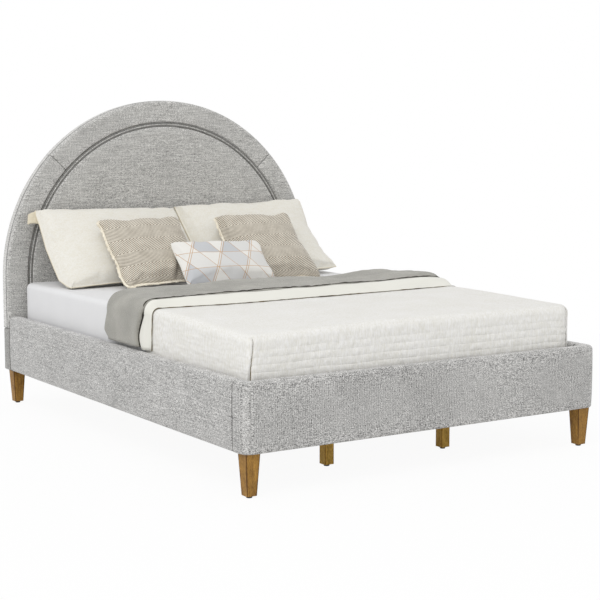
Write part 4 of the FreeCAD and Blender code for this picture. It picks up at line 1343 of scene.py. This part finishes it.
def puffed(name, front, back, pressure, cap, growth):
    """Fills a cushion with the cloth simulation: air pressure in a closed cloth, each point kept
    within cap of where it started. growth is how much larger the cloth gets, as a share. Gives
    the two grids.
    """
    frames = 16
    points, faces = shell_mesh(front, back)
    work = put_in_scene(name, new_mesh(name, points, faces))
    simulation = work.modifiers.new("cloth", "CLOTH")
    settings = simulation.settings
    settings.quality = 4
    settings.mass = 0.25
    settings.tension_stiffness = 12
    settings.compression_stiffness = 6
    settings.bending_stiffness = 0.25
    settings.shrink_min = -growth
    settings.use_pressure = True
    settings.uniform_pressure_force = pressure
    settings.effector_weights.gravity = 0
    simulation.point_cache.frame_end = frames
    for number in range(1, frames + 1):
        bpy.context.scene.frame_set(number)
    result = work.evaluated_get(bpy.context.evaluated_depsgraph_get())
    moved = np.zeros(points.size)
    result.to_mesh().vertices.foreach_get("co", moved)
    result.to_mesh_clear()
    bpy.data.objects.remove(work)
    bpy.context.scene.frame_set(1)
    shift = moved.reshape(-1, 3) - points
    reach = np.linalg.norm(shift, axis=1, keepdims=True)
    points = points + shift * np.minimum(1, cap / np.maximum(reach, 1e-9))
    return [grid.reshape(front.shape) for grid in np.split(points, 2)]


def woven(grid):
    """A grid's places in its own cloth, across it and up it. The swell draws the weave along."""
    follow, drawn = 0.2, np.array([0.4, 0.7])
    places = grid.copy()
    for axis in range(2):
        steps = np.linalg.norm(np.diff(grid, axis=axis), axis=-1)
        run = np.insert(steps.cumsum(axis), 0, 0, axis)
        run = run - np.take(run, [grid.shape[axis] // 2], axis)
        places[..., axis] += (run - places[..., axis]) * follow
    places[..., :2] += drawn * grid[..., 2:]
    return places


def uneven(grids, size, amount, seed):
    """Shifts the cloth about in its own plane, so that its outline wanders."""
    layout = grids[0] * [1, 1, 0]
    shift = [rough(layout, size, seed), rough(layout, size, seed + 1), np.zeros(layout.shape[:2])]
    return [grid + np.stack(shift, -1) * amount for grid in grids]


def slumped(grid, half, length, foot, left, right, middle, spread=2.6, top=0.0):
    """Bends a flat grid to the way it lies.

    left, right and middle say how far its sides and middle lie off the lean, as (share of its
    length, offset). foot is how far the two lower corners move along it, and top the upper left
    one. A smaller spread carries the sides' bend further in.
    """
    x, along, above = grid[..., 0], grid[..., 1], grid[..., 2]
    share = np.clip(np.abs(x) / half, 0, 1) ** spread
    left, right, middle = [np.interp(along / length, *zip(*off)) for off in (left, right, middle)]
    bend = (1 - share) * middle + share * np.where(x < 0, left, right)
    moved = along + (1 - smooth_step(along, 0, 0.12)) * np.where(x < 0, *foot) * share
    moved = moved + top * np.where(x < 0, share, 0) * smooth_step(along / length, 0.4, 1)
    return np.stack([x, moved, above + bend], -1)


def stuffed(lean, size, grids, air, lie, limits, material):
    """The finished cushion: filled with air, bent to the way it lies and put in its place.

    size is its half width and length, air what puffed takes to fill it, lie what slumped takes to
    bend it, and limits how far its faces may stand off the lean, below it and above it. Gives the
    piece, its front laid flat and the front in place.
    """
    flat = puffed(lean.node, *grids, *air)
    # The filling draws the sides in, and this spreads them to the full width again.
    spread = size[0] / max(np.abs(grid[..., 0]).max() for grid in flat)
    flat = [grid * [spread, 1, 1] for grid in flat]
    bent = [slumped(grid, *size, *lie) for grid in flat]
    for grid in bent:
        grid[..., 2] = np.clip(grid[..., 2], *limits)
    weave, faces = shell_mesh(*map(woven, flat))
    points = lean.placed(shell_mesh(*bent)[0])
    points[:, 2] = np.maximum(points[:, 2], SHEET_HIGH.z + 1.5 * MM)
    points[:, 1] = np.minimum(points[:, 1], HEAD_FRONT_Y - 1 * MM)
    mesh = new_mesh(lean.node, points, faces)
    mesh.attributes.new("weave", "FLOAT_VECTOR", "POINT").data.foreach_set("vector", weave.ravel())
    piece = put_in_scene(lean.node, mesh, material)
    finer = piece.modifiers.new("finer", "SUBSURF")
    finer.levels = finer.render_levels = 1
    stand_for(piece, lean.node)
    return piece, flat[0], points[: len(points) // 2].reshape(flat[0].shape)


def pillow(cad_node, seed, meeting, foot, left, right, short, lower, top=0.0):
    """Pillow in a sham with a narrow flange. Its lower end lies on the mattress.

    meeting is the side that touches the other pillow, and short how far the other side stops short
    of the CAD solid. lower is the same at its top edge, whose left corner is then raised by top.
    foot, left and right are what slumped takes.
    """
    lean = Lean(cad_node, aside=meeting * short / 2)
    size = lean.half + 1 * MM - short / 2, lean.length - lower
    front, back = pillow_grids(*size, 124 * MM, (84, 60), -0.004, 8 * MM, 2.8, 0.028, meeting)
    layout = front * [1, 1, 0]
    inside = np.clip((front[..., 2] - 2 * MM) / (25 * MM), 0, 1)
    swell = rough(layout, 0.17, seed) * 9 * MM
    swell = swell + rough(layout * [1, 2.4, 1], 0.09, seed + 1) * 3.5 * MM
    # Fine creases run across it, deeper at its lower end, and its lower half lies flatter.
    creased = np.clip(1 - np.abs(rough(layout * [1, 2.6, 1], 0.13, seed + 2)) * 5, 0, 1)
    low = 1 - smooth_step(layout[..., 1], 0.05, 0.24)
    swell = swell - creased**3 * 2.0 * MM * (0.3 + low)
    flatter = 0.4 * (1 - smooth_step(layout[..., 1] / size[1], 0, 0.5))
    front[..., 2] = (front[..., 2] + swell * inside) * (1 - flatter)
    middle = [(0, -0.015), (0.12, 0.002), (0.3, 0.0), (1, 0.0)]
    air, lie = (4.0, 14 * MM, 0.03), (foot, left, right, middle, 1.7, top)
    limits = (-66 * MM, 70 * MM)
    piece, _, front = stuffed(lean, size, (front, back), air, lie, limits, "pillow_cotton")
    add_cord(cad_node + "_piping", rim_of(front), 1.5 * MM, "sham_lining", cad_node)
    return front


def sham_flap(corner, cad_node):
    """The loose upper corner of the left pillow's sham, with its hem. It hangs from corner. Its
    cloth is a darker, warmer copy of the pillow's cotton, painted shade.
    """
    count = 14
    aside, down = np.indices((count, count)) / (count - 1)
    overhang, width, drop = 12, 46, 57
    x = corner[0] + (overhang - (width + 6 * down) * aside) * MM
    y = corner[1] + (11 * aside**2 - 7 - 9 * down) * MM
    z = corner[2] - (3 + 3 * aside + 12 * aside**3 + (drop - 14 * aside) * down) * MM
    sheet = np.stack([x, np.minimum(y, HEAD_FRONT_Y - 3 * MM), z], -1)
    sheet[..., 1] += rough(sheet, 0.03, 68) * 3 * MM * down
    flap = add_object("sham_flap", sheet, grid_quads(count, count).tolist(), "flap_cotton")
    belongs_to(with_thickness(flap, 2.0 * MM), cad_node)
    hem = np.concatenate([sheet[-1], sheet[::-1, -1][1:]])
    add_cord("sham_flap_hem", hem, 1.8 * MM, "sham_lining", cad_node, closed=False)


def frayed_share(outward):
    """How wide the frayed border is at each point of a rim: full at the left and the foot, hardly
    any elsewhere.
    """
    facing = np.maximum(outward[:, 0], outward[:, 1] / Lean.COSINE)
    return 1 - 0.85 * smooth_step(facing, 0.1, 0.7)[:, None]


def selvage(cad_node, rim, outward, lean):
    """The loose-woven pale border outside a cushion's seam, of uneven width."""
    width = (12 + 9 * rough(rim, 0.016, 78)[:, None]) * MM * frayed_share(outward)
    out_of_it = lean.pointed(np.array((0, 0, 1.0)))
    inner = rim - outward * 3 * MM
    outer = rim + outward * width + rough(rim, 0.03, 79)[:, None] * 4 * MM * out_of_it
    half = 0.6 * MM * out_of_it
    points = np.stack([inner - half, outer - half, outer + half, inner + half], 1)
    points[..., 2] = np.maximum(points[..., 2], SHEET_HIGH.z + 0.5 * MM)
    faces = tube_faces(len(rim), 4, ring=True)
    belongs_to(add_object(cad_node + "_selvage", points, faces, "fringe_yarn"), cad_node)


def fringe(cad_node, rim, outward, length):
    """Frayed edge: tufts of short uneven yarn ends along a cushion's border."""
    spacing, thickness, in_a_tuft = 0.4 * MM, 0.6 * MM, 9
    count = int(np.linalg.norm(np.diff(rim, axis=0), axis=1).sum() / spacing)
    where = np.linspace(0, len(rim) - 1, count, endpoint=False)
    first, part = where.astype(int), (where % 1)[:, None]
    second = (first + 1) % len(rim)
    roots, ways = (line[first] * (1 - part) + line[second] * part for line in (rim, outward))
    tufts = RANDOM.normal(0, 0.35, (count // in_a_tuft + 1, 3))
    ways = ways + np.repeat(tufts, in_a_tuft, axis=0)[:count] + RANDOM.normal(0, 0.22, (count, 3))
    ways = unit(ways)
    sides = unit(np.cross(ways, RANDOM.normal(0, 1, (count, 3)))) * thickness
    reach = length * RANDOM.uniform(0.55, 1.1, (count, 1)) * frayed_share(ways)
    roots = roots - ways * 2.5 * MM
    knees = roots + ways * reach * 0.55
    tips = knees + (ways + RANDOM.normal(0, 0.45, (count, 3))) * reach * 0.45
    points = np.stack([roots - sides, roots + sides, knees - sides, knees + sides, tips], 1)
    points[..., 2] = np.maximum(points[..., 2], SHEET_HIGH.z + 0.5 * MM)
    start = 5 * np.arange(count)[:, None]
    faces = (start + [0, 1, 3, 2]).tolist() + (start + [2, 3, 4]).tolist()
    piece = add_object(cad_node + "_fringe", points, faces, "fringe_yarn", smooth=False)
    belongs_to(piece, cad_node)


def outward_of(front, length, lean):
    """Unit vectors, in the CAD frame, that point out of a cushion's edge at each rim point."""
    rim = rim_of(front)
    ahead = np.roll(rim, -1, axis=0) - np.roll(rim, 1, axis=0)
    out = np.column_stack([ahead[:, 1], -ahead[:, 0], np.zeros(len(rim))])
    facing = np.sign(((rim - [0, length / 2, 0]) * out).sum(1, keepdims=True))
    return lean.pointed(unit(out) * facing)


def folded_in(layout, place_across):
    """How far a cushion's lower part is folded in: a dog ear about this place across it."""
    x, along = layout[..., 0] - place_across, layout[..., 1]
    run = x - along * 0.25
    fold = smooth_step(run, -3 * MM, 3 * MM) * np.exp(-np.maximum(run, 0) / 0.05)
    return 24 * MM * (fold - 0.6 * dent(run + 0.02, 0.02)) * (1 - smooth_step(along, 0.03, 0.17))


def square_cushion(cad_node, seed, lifted=0.0, dog_ear=None):
    """Feather cushion in a herringbone cover with a frayed edge.

    lifted is how far its foot lies up the slope, and dog_ear the place across it where it folds in.
    """
    lean = Lean(cad_node, up=lifted)
    size = lean.half - 6 * MM, lean.length - 1 * MM
    grids = pillow_grids(*size, 104 * MM, (64, 64), 0.022, 0.0, 2.4, 0.05)
    front, back = uneven(grids, 0.1, 9 * MM, seed + 2)
    layout = front * [1, 1, 0]
    swell = rough(layout, 0.13, seed) * 9 * MM + rough(layout, 0.045, seed + 1) * 2.2 * MM
    if dog_ear is not None:
        swell = swell - folded_in(layout, dog_ear)
    front[..., 2] += swell * np.clip(front[..., 2] / (22 * MM), 0, 1)
    sides = [(0, -0.016), (0.2, -0.030), (0.5, -0.024), (0.8, -0.008), (1, 0.004)]
    middle = [(0, -0.015), (0.12, -0.004), (0.3, 0.0), (1, 0.0)]
    air, lie = (4.0, 12 * MM, 0.035), ((-10 * MM, -10 * MM), sides, sides, middle)
    limits = (-56 * MM, 62 * MM)
    piece, flat, front = stuffed(lean, size, (front, back), air, lie, limits, "cushion_weave")
    rim, outward = rim_of(front), outward_of(flat, size[1], lean)
    selvage(cad_node, rim, outward, lean)
    fringe(cad_node, rim + outward * frayed_share(outward) * 9 * MM, outward, 9 * MM)


def lumbar_cushion(cad_node):
    """Small oblong cushion with a printed pattern of facets."""
    lean = Lean(cad_node, up=11 * MM, aside=-5 * MM, turn=math.radians(1.9))
    size = lean.half - 8 * MM, lean.length - 2 * MM
    grids = pillow_grids(*size, 86 * MM, (70, 44), 0.02, 0.0, 2.4, 0.03)
    front, back = uneven(grids, 0.12, 5 * MM, 82)
    layout = front * [1, 1, 0]
    swell = rough(layout, 0.12, 80) * 5 * MM + rough(layout, 0.04, 81) * 1.2 * MM
    front[..., 2] += swell * np.clip(front[..., 2] / (22 * MM), 0, 1)
    sides = [(0, -0.012), (0.3, -0.014), (0.7, -0.006), (1, 0.0)]
    middle = [(0, -0.012), (0.2, 0.0), (1, 0.0)]
    air, lie = (5.0, 10 * MM, 0.03), ((0, 0), sides, sides, middle)
    limits = (-46 * MM, 50 * MM)
    piece, _, front = stuffed(lean, size, (front, back), air, lie, limits, "lumbar_print")
    add_cord(cad_node + "_piping", rim_of(front), 1.3 * MM, "cuff_cotton", cad_node)


def build_pillows():
    # How far the sides of the pillows lie off the slope, from the foot up, as slumped takes them
    outer_left = [
        (0, 0.009), (0.19, -0.058), (0.42, -0.052), (0.56, -0.047), (0.8, -0.012), (1, -0.008),
    ]
    outer_right = [
        (0, 0.013), (0.24, -0.031), (0.5, -0.041), (0.66, -0.031), (0.94, 0.022), (1, 0.024),
    ]
    inner = [(0, 0.0), (0.2, -0.02), (0.5, -0.02), (1, -0.005)]
    left_feet, right_feet = (-30 * MM, -4 * MM), (-4 * MM, -3 * MM)
    front = pillow("pillow_left", 60, 1, left_feet, outer_left, inner, 14 * MM, 9 * MM, 20 * MM)
    sham_flap(front[0, -1], "pillow_left")
    pillow("pillow_right", 64, -1, right_feet, inner, outer_right, 14 * MM, 1 * MM)
    square_cushion("cushion_left", 70, 16 * MM, 0.03)
    square_cushion("cushion_right", 74)
    lumbar_cushion("lumbar_cushion")


# ---------------------------------------------------------------- build and stage


def build_bed():
    border_pad()
    edge_band()
    welts()
    panel_pad()
    lower_cover()
    rail_cover(1, "rail_cover_right")
    rail_cover(-1, "rail_cover_left")
    footboard_cover()
    fitted_sheet(mattress())
    quilt()
    cuff()
    blanket()


def make_world():
    """Even white light from all round, and a plain white background."""
    world = bpy.data.worlds.new("studio")
    world.use_nodes = True
    tree = world.node_tree
    tree.nodes.clear()
    light, white = (
        node(tree, "Background", {"Color": (1, 1, 1, 1), "Strength": strength}).outputs[0]
        for strength in (0.77, 1.0)
    )
    node(tree, "OutputWorld", {"Surface": white_where_seen(tree, white, light, 1.0)})
    bpy.context.scene.world = world


def make_floor(size=40.0):
    corners = np.array([(-size, -size, 0), (size, -size, 0), (size, size, 0), (-size, size, 0)])
    add_object("floor", corners, [[0, 1, 2, 3]], "floor", smooth=False)


def make_lamp(location, target, size, power):
    """A large soft lamp, turned to its target."""
    data = bpy.data.lights.new("key", "AREA")
    data.size = size
    data.energy = power
    lamp = put_in_scene("key", data)
    lamp.location = location
    lamp.rotation_euler = (Vector(target) - Vector(location)).to_track_quat("-Z", "Y").to_euler()


def make_camera(location, down, right, lens):
    """A camera that looks along +Y, turned down and to the right of it by these degrees."""
    data = bpy.data.cameras.new("camera")
    data.sensor_width = 36
    data.lens = lens
    camera = put_in_scene("camera", data)
    camera.location = location
    camera.rotation_euler = (math.radians(90 - down), 0, math.radians(-right))
    bpy.context.scene.camera = camera


finish_cad_nodes()
build_bed()
build_pillows()
make_world()
make_floor()
make_lamp((-9.2, -7.2, 12.5), (0, 0, 0.4), 9.0, 950)
make_camera((-3.2835, -5.2558, 1.2634), 6.675, 32.859, 86.61)
bpy.context.scene.view_settings.view_transform = "Standard"
